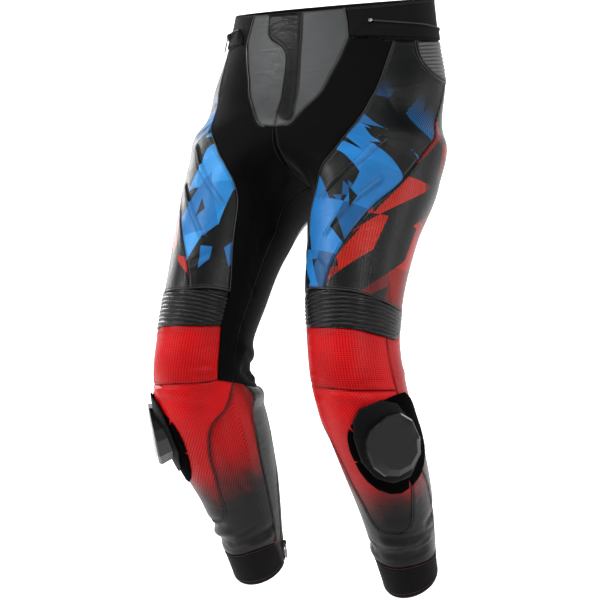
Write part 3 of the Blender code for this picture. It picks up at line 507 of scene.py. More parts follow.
def unrolled(theta, along, middle):
    """Where a point of the tube lies on the flat cut, in mm."""
    return np.radians(np.asarray(theta, float) - middle) * mean_radius(along), np.asarray(along, float)


def distance_to_outline(points, corners):
    """How far each flat point is from the nearest stretch of the outline, in mm."""
    nearest = np.full(len(points), 1e9)
    for start, end in zip(corners, np.roll(corners, -1, axis=0)):
        run = end - start
        share = np.clip(((points - start) @ run) / max(run @ run, 1e-9), 0, 1)
        nearest = np.minimum(nearest, np.hypot(*(points - start - share[:, None] * run).T))
    return nearest


SWELL = 0.35             # a seam's swell over its dip
SWELL_REACH = 2.6        # and its distance from the seam, over the dip's width


def seam_roll(edge, depth, width):
    """A turned edge: the panel dips into its seam and swells a little beside it."""
    dip = -depth * np.exp(-(edge / width)**2)
    return dip + SWELL * depth * np.exp(-((edge - SWELL_REACH * width) / width)**2)


MIRROR = np.array([-1.0, 1.0, 1.0])
BOTH = ("left", "right")
WHOLE = ("",)            # for a piece that isn't one of a pair


def name_of(name, side):
    return f"{name}_{side}" if side else name


def add_object(name, data):
    piece = bpy.data.objects.new(name, data)
    bpy.context.scene.collection.objects.link(piece)
    return piece


def smooth_mesh(name, bm):
    mesh = bpy.data.meshes.new(name)
    bm.to_mesh(mesh)
    bm.free()
    mesh.shade_smooth()
    return mesh


def declare(piece, body=BODY):
    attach(piece, body)


def add_panel(name, outline, finish, thick=LEATHER, lift=0.0, relief=None, place=surface,
              roll=(1.1, 1.7), rows=CELL, columns=CELL, sides=BOTH):
    """roll is the depth and width of its turned edge.
    """
    bm = flat_cells(outline, rows, columns)
    theta, along = np.array([vertex.co[:2] for vertex in bm.verts], float).T
    middle = (min(point[0] for point in outline) + max(point[0] for point in outline)) / 2
    corners = np.stack(unrolled(*np.array(outline, float).T, middle), -1)
    flat = np.stack(unrolled(theta, along, middle), -1)
    edge = distance_to_outline(flat, corners)
    for side in sides:
        height = lift + seam_roll(edge, *roll) + cloth_height(theta, along, side, place)
        if relief is not None:
            height = height + relief(theta, along, edge)
        point, normal = place(theta, along)
        point = point + normal * height[:, None]
        if side == "right":
            point = point * MIRROR
        piece = lay_cells(bm, name_of(name, side), point * MM, flat, edge, side == "right")
        shell = piece.modifiers.new("wall", "SOLIDIFY")
        shell.thickness, shell.offset = thick * MM, -1.0
        piece.data.materials.append(finish[side] if isinstance(finish, dict) else finish)
        piece.data.materials.append(LINING)
        shell.material_offset = 1
        declare(piece)
        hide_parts(name_of(name, side))
    bm.free()


def lay_cells(flat_bm, name, points, flat, edge, mirrored):
    """Moves a copy of the flat cells to their places and keeps the cut as its UV map, in mm."""
    bm = flat_bm.copy()
    bm.verts.ensure_lookup_table()
    for vertex, point in zip(bm.verts, points):
        vertex.co = point
    layer = bm.loops.layers.uv.new("cut")
    for face in bm.faces:
        for loop in face.loops:
            loop[layer].uv = flat[loop.vert.index]
    seam_layer = bm.verts.layers.float.new("edge")
    for vertex, distance in zip(bm.verts, edge):
        vertex[seam_layer] = distance
    if not mirrored:
        bmesh.ops.reverse_faces(bm, faces=bm.faces[:])
    return add_object(name + "_cloth", smooth_mesh("scene_" + name, bm))


# ---------------------------------------------------------------- creases in the cloth
CREASES = (
    # crease             side     rise half_width theta0 along0 theta1 along1
    ("crotch left 1",    "left",  -2.0,  4.0,  -112,   258,  -162,   314),
    ("crotch left 2",    "left",  -1.6,  3.5,  -104,   276,  -150,   338),
    ("crotch left 3",    "left",   1.2,  5.0,  -108,   268,  -156,   326),
    ("crotch right 1",   "right", -2.0,  4.0,  -110,   260,  -158,   304),
    ("crotch right 2",   "right", -1.6,  3.5,  -102,   284,  -146,   346),
    ("crotch right 3",   "right",  1.3,  5.5,  -106,   272,  -152,   324),
    ("inner thigh 1",    "both",  -1.8,  5.0,  -148,   366,  -176,   414),
    ("inner thigh 2",    "both",  -1.5,  4.5,  -156,   436,  -188,   474),
    ("inner thigh 3",    "right",  1.6,  7.0,  -140,   392,  -170,   452),
    ("inner thigh 4",    "left",   1.2,  6.0,  -146,   404,  -174,   448),
    ("inner thigh 5",    "right", -1.4,  4.0,  -152,   508,  -190,   528),
    ("thigh pull 1",     "left",  -1.0,  4.0,   -34,   120,   -22,   214),
    ("thigh pull 2",     "right", -1.0,  4.5,   -40,   132,   -24,   206),
    ("thigh sag 1",      "left",  -1.3,  4.5,  -118,   436,   -96,   466),
    ("thigh sag 2",      "right", -1.4,  4.5,  -122,   424,   -92,   458),
    ("thigh sag 3",      "right",  1.1,  5.5,  -116,   440,   -88,   468),
    ("knee gather 1",    "both",  -1.6,  2.4,  -152,   600,   -92,   613),
    ("knee gather 2",    "both",  -1.2,  2.2,  -150,   587,  -108,   601),
    ("knee gather 3",    "both",   1.3,  3.0,  -153,   594,   -98,   606),
    ("knee gather 4",    "left",  -1.1,  2.4,   -78,   611,   -40,   609),
    ("knee gather 5",    "both",  -1.0,  2.6,  -150,   560,  -118,   572),
    ("knee fold 1",      "both",  -1.7,  2.8,  -150,   622,   -98,   631),
    ("knee fold 2",      "both",   1.3,  3.2,  -152,   629,  -102,   638),
    ("knee fold 3",      "right", -1.2,  2.6,  -148,   640,  -112,   646),
    ("hollow 1",         "both",  -2.0,  3.6,  -192,   560,  -236,   576),
    ("hollow 2",         "both",  -1.8,  3.2,  -184,   622,  -216,   640),
    ("hollow 3",         "both",  -1.5,  3.0,    84,   574,   136,   560),
    ("hollow 4",         "left",  -1.4,  3.4,    70,   612,   120,   606),
    ("outer hollow 1",   "left",  -1.3,  3.0,    10,   566,    52,   590),
    ("outer hollow 2",   "right", -1.4,  3.2,     6,   572,    50,   600),
    ("outer hollow 3",   "both",   1.1,  4.0,     0,   584,    46,   606),
    ("calf pull 1",      "left",  -1.0,  4.0,  -146,   716,  -168,   778),
    ("calf pull 2",      "right", -1.1,  4.0,  -142,   730,  -162,   792),
    ("ankle 1",          "both",  -1.9,  2.8,  -106,   814,   -44,   832),
    ("ankle 2",          "left",  -2.2,  3.0,  -110,   846,   -28,   858),
    ("ankle 3",          "both",  -1.9,  2.6,   -98,   871,   -16,   876),
    ("ankle 4",          "both",  -1.7,  2.6,  -152,   836,  -112,   850),
    ("ankle 5",          "right", -2.2,  3.0,  -120,   852,   -48,   864),
    ("ankle 6",          "left",   1.6,  3.2,   -66,   864,    -8,   858),
    ("ankle 7",          "right",  1.6,  3.4,  -140,   862,   -76,   872),
    ("ankle 8",          "left",  -1.8,  2.4,   -40,   838,     6,   852),
    ("ankle 9",          "both",  -1.6,  2.6,    10,   862,    66,   872),
    ("ankle 10",         "both",  -1.7,  2.8,    70,   868,   128,   856),
    ("hip pull 1",       "left",  -1.2,  4.0,    52,   156,    88,   176),
    ("hip pull 2",       "right", -1.2,  4.0,    50,   168,    86,   150),
    ("seat fold 1",      "both",  -1.8,  4.5,    96,   262,   126,   300),
    ("seat fold 2",      "left",  -1.4,  4.0,    60,   300,   100,   316),
    ("seat fold 3",      "right", -1.4,  4.0,    56,   318,    98,   338),
    ("yoke sag 1",       "left",  -0.9,  5.0,   -84,    66,   -76,   176),
    ("yoke sag 2",       "right", -0.9,  5.0,   -80,    80,   -74,   182),
)


def cloth_height(theta, along, side, place):
    """Small creases, on top of the form's large folds; the waistband and the fly have none."""
    total = np.zeros_like(theta)
    if place is not surface:
        return total
    for _, where, rise, half, theta0, along0, theta1, along1 in CREASES:
        if where in ("both", side):
            across, run = line_reach(theta, along, (theta0, along0), (theta1, along1))
            total = total + rise * faded_ends(run, CREASE_FADE) * np.exp(-(across / half)**2)
    return total


# ---------------------------------------------------------------- finishes
def srgb(code):
    """A colour written as sRGB hex, as linear red, green, blue and alpha."""
    values = [int(code[i:i + 2], 16) / 255 for i in (1, 3, 5)]
    return (*[v / 12.92 if v <= 0.04045 else ((v + 0.055) / 1.055)**2.4 for v in values], 1.0)


def add(tree, kind, inputs=None, **settings):
    """Adds one node; inputs are values or other nodes' sockets, settings are its own properties."""
    made = tree.nodes.new("ShaderNode" + kind)
    for key, value in settings.items():
        setattr(made, key, value)
    for key, value in (inputs or {}).items():
        if isinstance(value, bpy.types.NodeSocket):
            tree.links.new(value, made.inputs[key])
        else:
            made.inputs[key].default_value = value
    return made


def new_finish(name, colour, **sockets):
    """A material whose even colours and numbers sit on its Principled shader's own sockets."""
    material = bpy.data.materials.new(name)
    material.use_nodes = True
    tree = material.node_tree
    shader = tree.nodes["Principled BSDF"]
    shader.inputs["Base Color"].default_value = srgb(colour)
    for key, value in sockets.items():
        shader.inputs[key.replace("_", " ")].default_value = value
    return material, tree, shader


def set_bump(tree, shader, height, strength, depth=1.0):
    """Bump from a height, with its depth in mm."""
    bump = add(tree, "Bump", {"Height": height, "Strength": strength, "Distance": MM * depth})
    tree.links.new(bump.outputs["Normal"], shader.inputs["Normal"])


def object_position(tree):
    return add(tree, "TexCoord").outputs["Object"]


def cut_position(tree):
    """The piece's own unrolled cut, in mm: x round the leg and y down it."""
    return add(tree, "UVMap", uv_map="cut").outputs["UV"]


def vector_node(tree, operation, *values, output=0):
    made = add(tree, "VectorMath", dict(enumerate(values)), operation=operation)
    return made.outputs[output]


def noise(tree, flat, *spacing, **settings):
    """Soft clouds, 0 to 1, about so many mm apart."""
    where = scaled(tree, flat, *spacing)
    return add(tree, "TexNoise", {"Vector": where, "Scale": 1.0, **settings}).outputs[0]


def coordinate(tree, flat, name):
    return add(tree, "SeparateXYZ", {0: flat}).outputs[name]


def turned(tree, flat, degrees):
    return add(tree, "VectorRotate", {"Vector": flat, "Angle": math.radians(degrees)},
               rotation_type="Z_AXIS").outputs["Vector"]


def scaled(tree, vector, x, y=None):
    """The position counted in repeats of a pattern, x and y mm apart."""
    return vector_node(tree, "MULTIPLY", vector, (1 / x, 1 / (y or x), 1 / x))


def ramp(tree, value, low, high, to_low=0.0, to_high=1.0):
    """A smooth change from one value to another as the input goes from low to high."""
    made = add(tree, "MapRange", {"Value": value, "From Min": low, "From Max": high, "To Min": to_low,
                                  "To Max": to_high}, interpolation_type="SMOOTHSTEP")
    return made.outputs["Result"]


def math_node(tree, operation, a, b=0.0):
    return add(tree, "Math", {0: a, 1: b}, operation=operation).outputs[0]


def mixed(tree, share, first, second):
    made = add(tree, "Mix", {0: share, 6: first, 7: second}, data_type="RGBA")
    return made.outputs[2]


def holes(tree, flat, x, y, radius, degrees=0.0):
    """Rows of punched holes, 1 inside a hole; x and y are the spacings in mm."""
    part = vector_node(tree, "FRACTION", scaled(tree, turned(tree, flat, degrees), x, y))
    centred = vector_node(tree, "SUBTRACT", part, (0.5, 0.5, 0.0))
    in_mm = vector_node(tree, "MULTIPLY", centred, (x, y, 0.0))
    length = vector_node(tree, "LENGTH", in_mm, output="Value")
    return ramp(tree, length, radius * 1.25, radius * 0.75)


def hatch(tree, flat, pitch, share, degrees):
    """Printed hatching: 1 on parallel lines that cover a share of the surface."""
    x = coordinate(tree, scaled(tree, turned(tree, flat, degrees), pitch), "X")
    wave = math_node(tree, "PINGPONG", x, 0.5)
    return math_node(tree, "LESS_THAN", wave, math_node(tree, "MULTIPLY", share, 0.5))


def painted_rib_valley_shade(tree, flat, colour, start, pitch, valley):
    """Painted shade: darker in the valleys between moulded ribs, from a rib's place down the panel."""
    down = coordinate(tree, flat, "Y")
    phase = math_node(tree, "DIVIDE", math_node(tree, "SUBTRACT", down, start), pitch)
    share = ramp(tree, math_node(tree, "PINGPONG", phase, 0.5), 0.03, 0.30)
    return mixed(tree, share, srgb(valley), colour)


def shaded(tree, colour, shade):
    """A colour multiplied by a shade of grey."""
    grey = add(tree, "CombineColor", {0: shade, 1: shade, 2: shade}).outputs[0]
    made = add(tree, "Mix", {0: 1.0, 6: colour, 7: grey}, data_type="RGBA", blend_type="MULTIPLY")
    return made.outputs[2]


def painted_seam_shade(tree, colour, depth=0.45, reach=3.0):
    """Painted shade: darker where a panel turns down into its seam."""
    edge = add(tree, "Attribute", attribute_name="edge").outputs["Fac"]
    return shaded(tree, colour, ramp(tree, edge, 0.0, reach, 1.0 - depth, 1.0))


def seam_groove(tree, distance=3.6, half=0.7):
    """The dip of a topstitched line beside each seam, 1 in its middle."""
    edge = add(tree, "Attribute", attribute_name="edge").outputs["Fac"]
    off = math_node(tree, "ABSOLUTE", math_node(tree, "SUBTRACT", edge, distance))
    return ramp(tree, off, half, 0.0)


GRAIN = 1.9              # mm; cowhide's pebbles are about 1 mm wide and are drawn coarser so that they show
GRAIN_DEPTH = 0.25
PEBBLE_EDGE = 0.22       # share of a pebble that slopes down into the lines round it
CREASE_SCALE = 26.0      # mm between the fine pull lines of worn leather
CREASE_LONG = 57.2       # and their length
WEAR = 3.2               # their depth in mm
GROOVE_DEPTH = 0.7       # of a topstitched line, and of a punched hole
HOLE_DEPTH = 0.8


def leather_bump(tree, shader, flat, punched=None, grain=GRAIN, strength=0.5, wear=WEAR):
    """Pebbled grain with soft pull lines, the topstitched groove and any punched holes."""
    pebbles = add(tree, "TexVoronoi", {"Vector": scaled(tree, flat, grain), "Scale": 1.0},
                  feature="DISTANCE_TO_EDGE", voronoi_dimensions="2D").outputs["Distance"]
    height = ramp(tree, pebbles, 0.0, PEBBLE_EDGE, 0.0, GRAIN_DEPTH)
    folds = noise(tree, flat, CREASE_LONG, CREASE_SCALE, Detail=2.5, Roughness=0.55, Distortion=0.8)
    height = math_node(tree, "ADD", height, math_node(tree, "MULTIPLY", folds, wear))
    dips = [(seam_groove(tree), GROOVE_DEPTH)] + ([] if punched is None else [(punched, HOLE_DEPTH)])
    for dip, depth in dips:
        height = math_node(tree, "SUBTRACT", height, math_node(tree, "MULTIPLY", dip, depth))
    set_bump(tree, shader, height, strength)


def uneven(tree, flat, colour, size=60.0, depth=0.12):
    """Leather takes its dye unevenly: slow light and dark areas."""
    cloud = noise(tree, flat, size, Detail=3.0)
    return shaded(tree, colour, ramp(tree, cloud, 0.3, 0.7, 1.0 - depth, 1.0 + depth))


def colour_socket(tree, code):
    made = add(tree, "RGB")
    made.outputs[0].default_value = srgb(code)
    return made.outputs[0]


def set_colour(tree, shader, flat, colour, depth=0.45):
    # the base colour gets its random dye tone and the painted shade along its seams
    tree.links.new(painted_seam_shade(tree, uneven(tree, flat, colour), depth), shader.inputs["Base Color"])


def cowhide(name, colour, roughness, grain=GRAIN, punched=None, shine=0.2, ribs=None, wear=WEAR):
    """Drum-dyed cowhide with a satin topcoat: pebbled grain, slow colour changes, and painted shade along
    its seams and in any rib valleys.
    """
    material, tree, shader = new_finish(name, colour, Roughness=roughness, Specular_IOR_Level=shine)
    flat = cut_position(tree)
    hole = holes(tree, flat, *punched) if punched else None
    base = colour_socket(tree, colour)
    if hole is not None:
        base = mixed(tree, hole, base, srgb("#050505"))
    if ribs is not None:
        # painted shade in the valleys between the ribs
        base = painted_rib_valley_shade(tree, flat, base, ribs[0], (ribs[1] - ribs[0]) / RIB_COUNT, "#020202")
    set_colour(tree, shader, flat, base)
    leather_bump(tree, shader, flat, hole, grain, wear=wear)
    return material


DRIFT = 60.0             # mm by which a fade's edge wanders
DRIFT_SPACING = 55.0     # mm from one swing of it to the next
HOLE_RED = "#2a0505"     # inside of a hole in the red coat


def faded_cowhide(name, red, charcoal, start, end, punched=None, roughness=0.4, shine=0.16):
    """Red coated cowhide that fades into charcoal; the red stays longest in rows of dots."""
    material, tree, shader = new_finish(name, red, Roughness=roughness, Specular_IOR_Level=shine)
    flat = cut_position(tree)
    drift = math_node(tree, "SUBTRACT", noise(tree, flat, DRIFT_SPACING, Detail=2.0), 0.5)
    drift = math_node(tree, "MULTIPLY", drift, DRIFT)
    shifted = math_node(tree, "ADD", coordinate(tree, flat, "Y"), drift)
    gone = ramp(tree, shifted, start, end)
    hole = None
    if punched:
        hole = holes(tree, flat, *punched)
        lines = hatch(tree, flat, punched[0], 0.5, punched[3])
        kept = math_node(tree, "MULTIPLY", lines, ramp(tree, shifted, end + 10.0, start + 40.0, 0.0, 0.75))
        gone = math_node(tree, "MULTIPLY", gone, math_node(tree, "SUBTRACT", 1.0, kept))
    base = mixed(tree, gone, srgb(red), srgb(charcoal))
    if hole is not None:
        in_red = math_node(tree, "MULTIPLY", hole, ramp(tree, gone, 1.0, 0.2))
        base = mixed(tree, in_red, base, srgb(HOLE_RED))
    set_colour(tree, shader, flat, base)
    leather_bump(tree, shader, flat, hole, strength=0.4)
    return material


TRIANGLES = (
    # side in mm, share of its height over its width, lean in degrees, offset, share of them that are inked
    (58.0, 1.5,   0.0,  0.0, 0.50),
    (32.0, 1.8,  17.0, 11.0, 0.26),
)
BLANKS = (40.0, 2.4, -19.0, 23.0, 0.38)     # the same for those left bare
PRINT_TURN = 24.0        # degrees by which their rows lean
HATCH_PITCH = 3.0        # mm between the lines that fade the print out
HATCH_TURN = -38.0       # degrees by which they lean


def triangle_value(tree, flat, side, stretch, turn, seed):
    """A mosaic of long triangles, each with its own even value from 0 to 1."""
    where = scaled(tree, turned(tree, flat, turn), side, side * stretch)
    axes = ((1.0, 0.0, 0.0), (0.5, 0.866, 0.0), (-0.5, 0.866, 0.0))
    cells = []
    for axis in axes:
        reach = vector_node(tree, "DOT_PRODUCT", where, axis, output="Value")
        cells.append(math_node(tree, "FLOOR", math_node(tree, "ADD", reach, seed)))
    cell = add(tree, "CombineXYZ", {0: cells[0], 1: cells[1], 2: cells[2]}).outputs[0]
    return add(tree, "TexWhiteNoise", {"Vector": cell}, noise_dimensions="3D").outputs["Value"]


def triangle_print(tree, flat, turn, seed):
    """Where the print has ink, 0 or 1, and each triangle's own value, which sets its tone."""
    inked, tone = None, None
    for side, stretch, lean, offset, share in TRIANGLES:
        value = triangle_value(tree, flat, side, stretch, turn + lean, seed + offset)
        hit = math_node(tree, "LESS_THAN", value, share)
        tone = value if tone is None else tone
        inked = hit if inked is None else math_node(tree, "MAXIMUM", inked, hit)
    side, stretch, lean, offset, share = BLANKS
    value = triangle_value(tree, flat, side, stretch, turn + lean, seed + offset)
    return math_node(tree, "MULTIPLY", inked, math_node(tree, "GREATER_THAN", value, share)), tone


def printed_cowhide(name, ink, ink_dark, leather, seed, fade, turn=PRINT_TURN, roughness=0.38,
                    punched=None, shine=0.18):
    """Charcoal cowhide, screen printed with long triangles that dissolve into hatching towards the hip.

    fade is where the print starts and is full, along, and how far that leans round the leg.
    """
    material, tree, shader = new_finish(name, ink, Roughness=roughness, Specular_IOR_Level=shine)
    flat = cut_position(tree)
    inked, value = triangle_print(tree, flat, turn, seed)
    tone = add(tree, "TexWhiteNoise", {"W": value}, noise_dimensions="1D").outputs["Value"]
    tone = ramp(tree, tone, 0.0, 1.0)
    place = add(tree, "SeparateXYZ", {0: flat}).outputs
    start, end, lean = fade
    reach = math_node(tree, "ADD", place["Y"], math_node(tree, "MULTIPLY", place["X"], lean))
    strength = ramp(tree, reach, start, end)
    lines = hatch(tree, flat, HATCH_PITCH, strength, HATCH_TURN)
    lines = math_node(tree, "MULTIPLY", lines, ramp(tree, strength, 0.0, 0.3))
    cover = math_node(tree, "MAXIMUM", ramp(tree, strength, 0.55, 0.8), lines)
    shown = math_node(tree, "MULTIPLY", inked, cover)
    colour = mixed(tree, shown, srgb(leather), mixed(tree, tone, srgb(ink), srgb(ink_dark)))
    hole = holes(tree, flat, *punched) if punched else None
    if hole is not None:
        colour = mixed(tree, hole, colour, srgb("#060606"))
    set_colour(tree, shader, flat, colour)
    leather_bump(tree, shader, flat, hole, strength=0.35)
    return material


def stretch_cloth(name, colour, rib=1.6):
    """Bonded stretch cloth: matte, with fine knitted ribs about 1 mm apart, drawn wider."""
    material, tree, shader = new_finish(name, colour, Roughness=0.7, Specular_IOR_Level=0.05,
                                        Sheen_Weight=0.05, Sheen_Roughness=0.35)
    flat = cut_position(tree)
    place = add(tree, "SeparateXYZ", {0: scaled(tree, flat, rib)}).outputs
    ribs = math_node(tree, "PINGPONG", place["X"], 0.5)
    rows = math_node(tree, "PINGPONG", place["Y"], 0.5)
    height = math_node(tree, "ADD", ribs, math_node(tree, "MULTIPLY", rows, 0.6))
    set_bump(tree, shader, height, 0.3, 0.6)
    # the base colour, with painted shade along its seams
    set_colour(tree, shader, flat, colour_socket(tree, colour), 0.6)
    return material


def felt_finish():
    """Looped pile of a hook-and-loop patch: black and furry, with no gloss."""
    material, tree, shader = new_finish("looped_felt", "#040404", Roughness=1.0, Specular_IOR_Level=0.02)
    set_bump(tree, shader, noise(tree, cut_position(tree), 1.6, Detail=3.0), 0.8)
    return material


def moulded_plastic(name, colour, roughness, shine=0.4):
    """Injection-moulded polyurethane: glossy, with a faint flow ripple and light scuffs."""
    material, tree, shader = new_finish(name, colour, Specular_IOR_Level=shine)
    where = object_position(tree)
    scuff = add(tree, "TexNoise", {"Vector": where, "Scale": 60.0, "Detail": 5.0}).outputs[0]
    tree.links.new(ramp(tree, scuff, 0.3, 0.8, roughness, roughness + 0.14), shader.inputs["Roughness"])
    set_bump(tree, shader, add(tree, "TexNoise", {"Vector": where, "Scale": 45.0}).outputs[0], 0.15)
    return material


def enamelled_metal(name, colour):
    """Die-cast zinc under black enamel: satin, a little uneven."""
    material, tree, shader = new_finish(name, colour, Metallic=0.6, Roughness=0.38)
    grit = add(tree, "TexNoise", {"Vector": object_position(tree), "Scale": 900.0, "Detail": 2.0})
    set_bump(tree, shader, grit.outputs[0], 0.2, 0.2)
    return material


def woven_tape(name, colour):
    """Polyester zip tape: a herringbone weave about 1 mm wide."""
    material, tree, shader = new_finish(name, colour, Roughness=0.85, Specular_IOR_Level=0.3)
    weave = add(tree, "TexWave", {"Vector": object_position(tree), "Scale": 320.0, "Distortion": 1.0},
                bands_direction="DIAGONAL")
    set_bump(tree, shader, weave.outputs["Fac"], 0.3, 0.4)
    return material


def thread_finish(name, colour):
    """Bonded polyester sewing thread: a twisted strand with a slight shine."""
    material, tree, shader = new_finish(name, colour, Roughness=0.6, Sheen_Weight=0.1)
    twist = add(tree, "TexWave", {"Vector": object_position(tree), "Scale": 900.0},
                bands_direction="DIAGONAL")
    set_bump(tree, shader, twist.outputs["Fac"], 0.4, 0.2)
    return material


def piping_finish():
    """Thin black cowhide wrapped round a cord: satin, with fine pebbles."""
    material, tree, shader = new_finish("black_piping_cowhide", "#0e0e0f", Roughness=0.42)
    pebbles = add(tree, "TexVoronoi", {"Vector": object_position(tree), "Scale": 700.0})
    set_bump(tree, shader, pebbles.outputs["Distance"], 0.3, 0.3)
    return material


STRETCH_CLOTH = stretch_cloth("matte_stretch_cloth", "#040404")
CUFF_CLOTH = stretch_cloth("ankle_cuff_stretch_cloth", "#0d0d0d")
BAND_CLOTH = stretch_cloth("waistband_stretch_cloth", "#100f0f", 1.2)
GREY_COWHIDE = cowhide("satin_grey_cowhide", "#3c3d3e", 0.40, punched=(3.0, 3.0, 0.45), shine=0.34)
FLY_COWHIDE = cowhide("glossy_black_cowhide", "#040404", 0.30, shine=0.14)
BLACK_COWHIDE = cowhide("satin_black_cowhide", "#080808", 0.33, shine=0.18)
CHARCOAL_COWHIDE = cowhide("satin_charcoal_cowhide", "#0d0d0e", 0.33, shine=0.18)
RIB_GRAIN = {"grain": 1.4, "wear": 1.0}
RIB_COWHIDE = cowhide("glossy_ribbed_cowhide", "#080808", 0.26, shine=0.25, ribs=KNEE_RIBS, **RIB_GRAIN)
HIP_RIB_COWHIDE = cowhide("grey_ribbed_cowhide", "#484848", 0.36, shine=0.5, ribs=HIP_RIBS, **RIB_GRAIN)
# Punched holes: their spacings round and down, radius, and the rows' turn in degrees.
PERFORATION = (4.0, 2.6, 0.75, 0.0)
SLANTED = (3.6, 2.8, 0.7, 38.0)
# The left leg's print has the same design as the right's, with darker inks, which is painted shade.
THIGH_PRINT = {
    side: printed_cowhide("blue_printed_cowhide_" + side, ink, dark, "#0b0c0d", seed, fade)
    for side, ink, dark, seed, fade in (("left", "#1d70b2", "#114878", 0.31, (40.0, 230.0, -0.55)),
                                        ("right", "#2f86c8", "#1d629e", 3.72, (60.0, 240.0, -0.35)))
}
OUTER_PRINT = {
    side: printed_cowhide("red_printed_cowhide_" + side, "#b42014", "#640d09", "#0e0e0e", seed, fade,
                          turn=-32.0, roughness=0.30, punched=PERFORATION)
    for side, seed, fade in (("left", 5.2, (150.0, 300.0, 0.2)), ("right", 2.4, (190.0, 330.0, 0.2)))
}
KNEE_RED = faded_cowhide("red_knee_cowhide", "#c40a10", "#7c0d0b", 560.0, 900.0, PERFORATION, shine=0.12)
SHIN_RED = faded_cowhide("red_shin_cowhide", "#cc0a10", "#0a0909", 660.0, 790.0, SLANTED, shine=0.14)
WRAP_RED = faded_cowhide("red_calf_cowhide", "#c40e12", "#0a0909", 655.0, 780.0, SLANTED, roughness=0.32,
                         shine=0.18)
SIDE_RED = faded_cowhide("red_side_cowhide", "#a00e12", "#0d0c0c", 640.0, 770.0, roughness=0.32, shine=0.15)
FELT = felt_finish()
LINING = stretch_cloth("black_mesh_lining", "#0a0a0a", 2.0)
SLIDER_PLASTIC = moulded_plastic("moulded_polyurethane", "#121314", 0.12, 0.55)
PLATE_PLASTIC = moulded_plastic("moulded_plate_rubber", "#070707", 0.62, 0.12)
ZIP_TAPE = woven_tape("woven_zip_tape", "#0c0c0c")
DARK_ENAMEL = enamelled_metal("dark_enamelled_zinc", "#262628")
BRIGHT_METAL = enamelled_metal("nickel_plated_steel", "#8f8a88")
ZIP_TEETH = enamelled_metal("gunmetal_zip_teeth", "#4a4446")
PULL_GRIP = moulded_plastic("grey_rubber_grip", "#6d6a6a", 0.4)
STRIP_CLOTH = stretch_cloth("jacket_strip_cloth", "#0f0f0f", 1.4)
BLACK_COWHIDE_PLAIN = piping_finish()
BLACK_THREAD = thread_finish("bonded_black_thread", "#1c1c1d")
GREY_THREAD = thread_finish("bonded_grey_thread", "#4c4a4a")
RED_THREAD = thread_finish("bonded_red_thread", "#a0201a")
BROWN_THREAD = thread_finish("bonded_red_brown_thread", "#521a18")


PIPE_STEP = 6.0          # mm between the points of a piping
STITCH_LIFT = 0.42


# ---------------------------------------------------------------- lines on the cloth
def offset_line(line, offset):
    """A line moved sideways in mm: towards +theta where it runs down, upwards where it runs to +theta."""
    theta, along = np.array(line, float).T
    radius = mean_radius(along)
    u = np.radians(theta) * radius.mean()
    du, dv = np.gradient(u), np.gradient(along)
    length = np.maximum(np.hypot(du, dv), 1e-6)
    shifted = theta + np.degrees(offset * dv / length / radius)
    return list(zip(shifted, along - offset * du / length))


def on_cloth(line, lift, side, place=surface, step=3.0):
    """Evenly spaced points, directions and normals of a line laid on the cloth, in mm."""
    theta, along = np.array(smooth_line(line, step)).T
    point, normal = place(theta, along)
    point = point + normal * (lift + cloth_height(theta, along, side, place))[:, None]
    if side == "right":
        point, normal = point * MIRROR, normal * MIRROR
    return point, normal


def add_piping(name, lines, radius, lift=0.2, place=surface, sides=BOTH):
    """Round piping, one curve with a run for each line and side."""
    data = bpy.data.curves.new("scene_" + name, "CURVE")
    data.dimensions, data.bevel_depth, data.bevel_resolution = "3D", radius * MM, 1
    data.use_fill_caps = True
    for line in lines:
        for side in sides:
            point, _ = on_cloth(line, lift, side, place, PIPE_STEP)
            run = data.splines.new("POLY")
            run.points.add(len(point) - 1)
            run.points.foreach_set("co", np.column_stack([point * MM, np.ones(len(point))]).ravel())
    data.materials.append(BLACK_COWHIDE_PLAIN)
    declare(add_object(name, data))


def joined_copies(name, shape, origins, axes, finish):
    """One mesh of many copies of a small shape, each at an origin with its own three axes, in mm."""
    shape.verts.ensure_lookup_table()
    base = np.array([vertex.co for vertex in shape.verts])
    faces = np.array([[vertex.index for vertex in face.verts] for face in shape.faces])
    count, corners = faces.shape
    points = np.asarray(origins)[:, None, :] + base @ np.asarray(axes)
    loops = (faces[None] + len(base) * np.arange(len(points))[:, None, None]).ravel()
    mesh = bpy.data.meshes.new("scene_" + name)
    mesh.vertices.add(points.size // 3)
    mesh.vertices.foreach_set("co", (points * MM).ravel())
    mesh.loops.add(len(loops))
    mesh.loops.foreach_set("vertex_index", loops)
    mesh.polygons.add(len(loops) // corners)
    mesh.polygons.foreach_set("loop_start", np.arange(0, len(loops), corners))
    mesh.update(calc_edges=True)
    mesh.validate()
    mesh.shade_smooth()
    mesh.materials.append(finish)
    declare(add_object(name, mesh))
    shape.free()


def thread_shape(length, width):
    """One stitch: a short plump length of thread."""
    bm = bmesh.new()
    bmesh.ops.create_icosphere(bm, subdivisions=1, radius=0.5)
    bmesh.ops.scale(bm, verts=bm.verts, vec=(width, length, width))
    return bm


FRAME_STEP = 1.5         # mm between the points that small copies are placed by
NEAR = 0.5               # mm to each side, from which a line's direction is taken


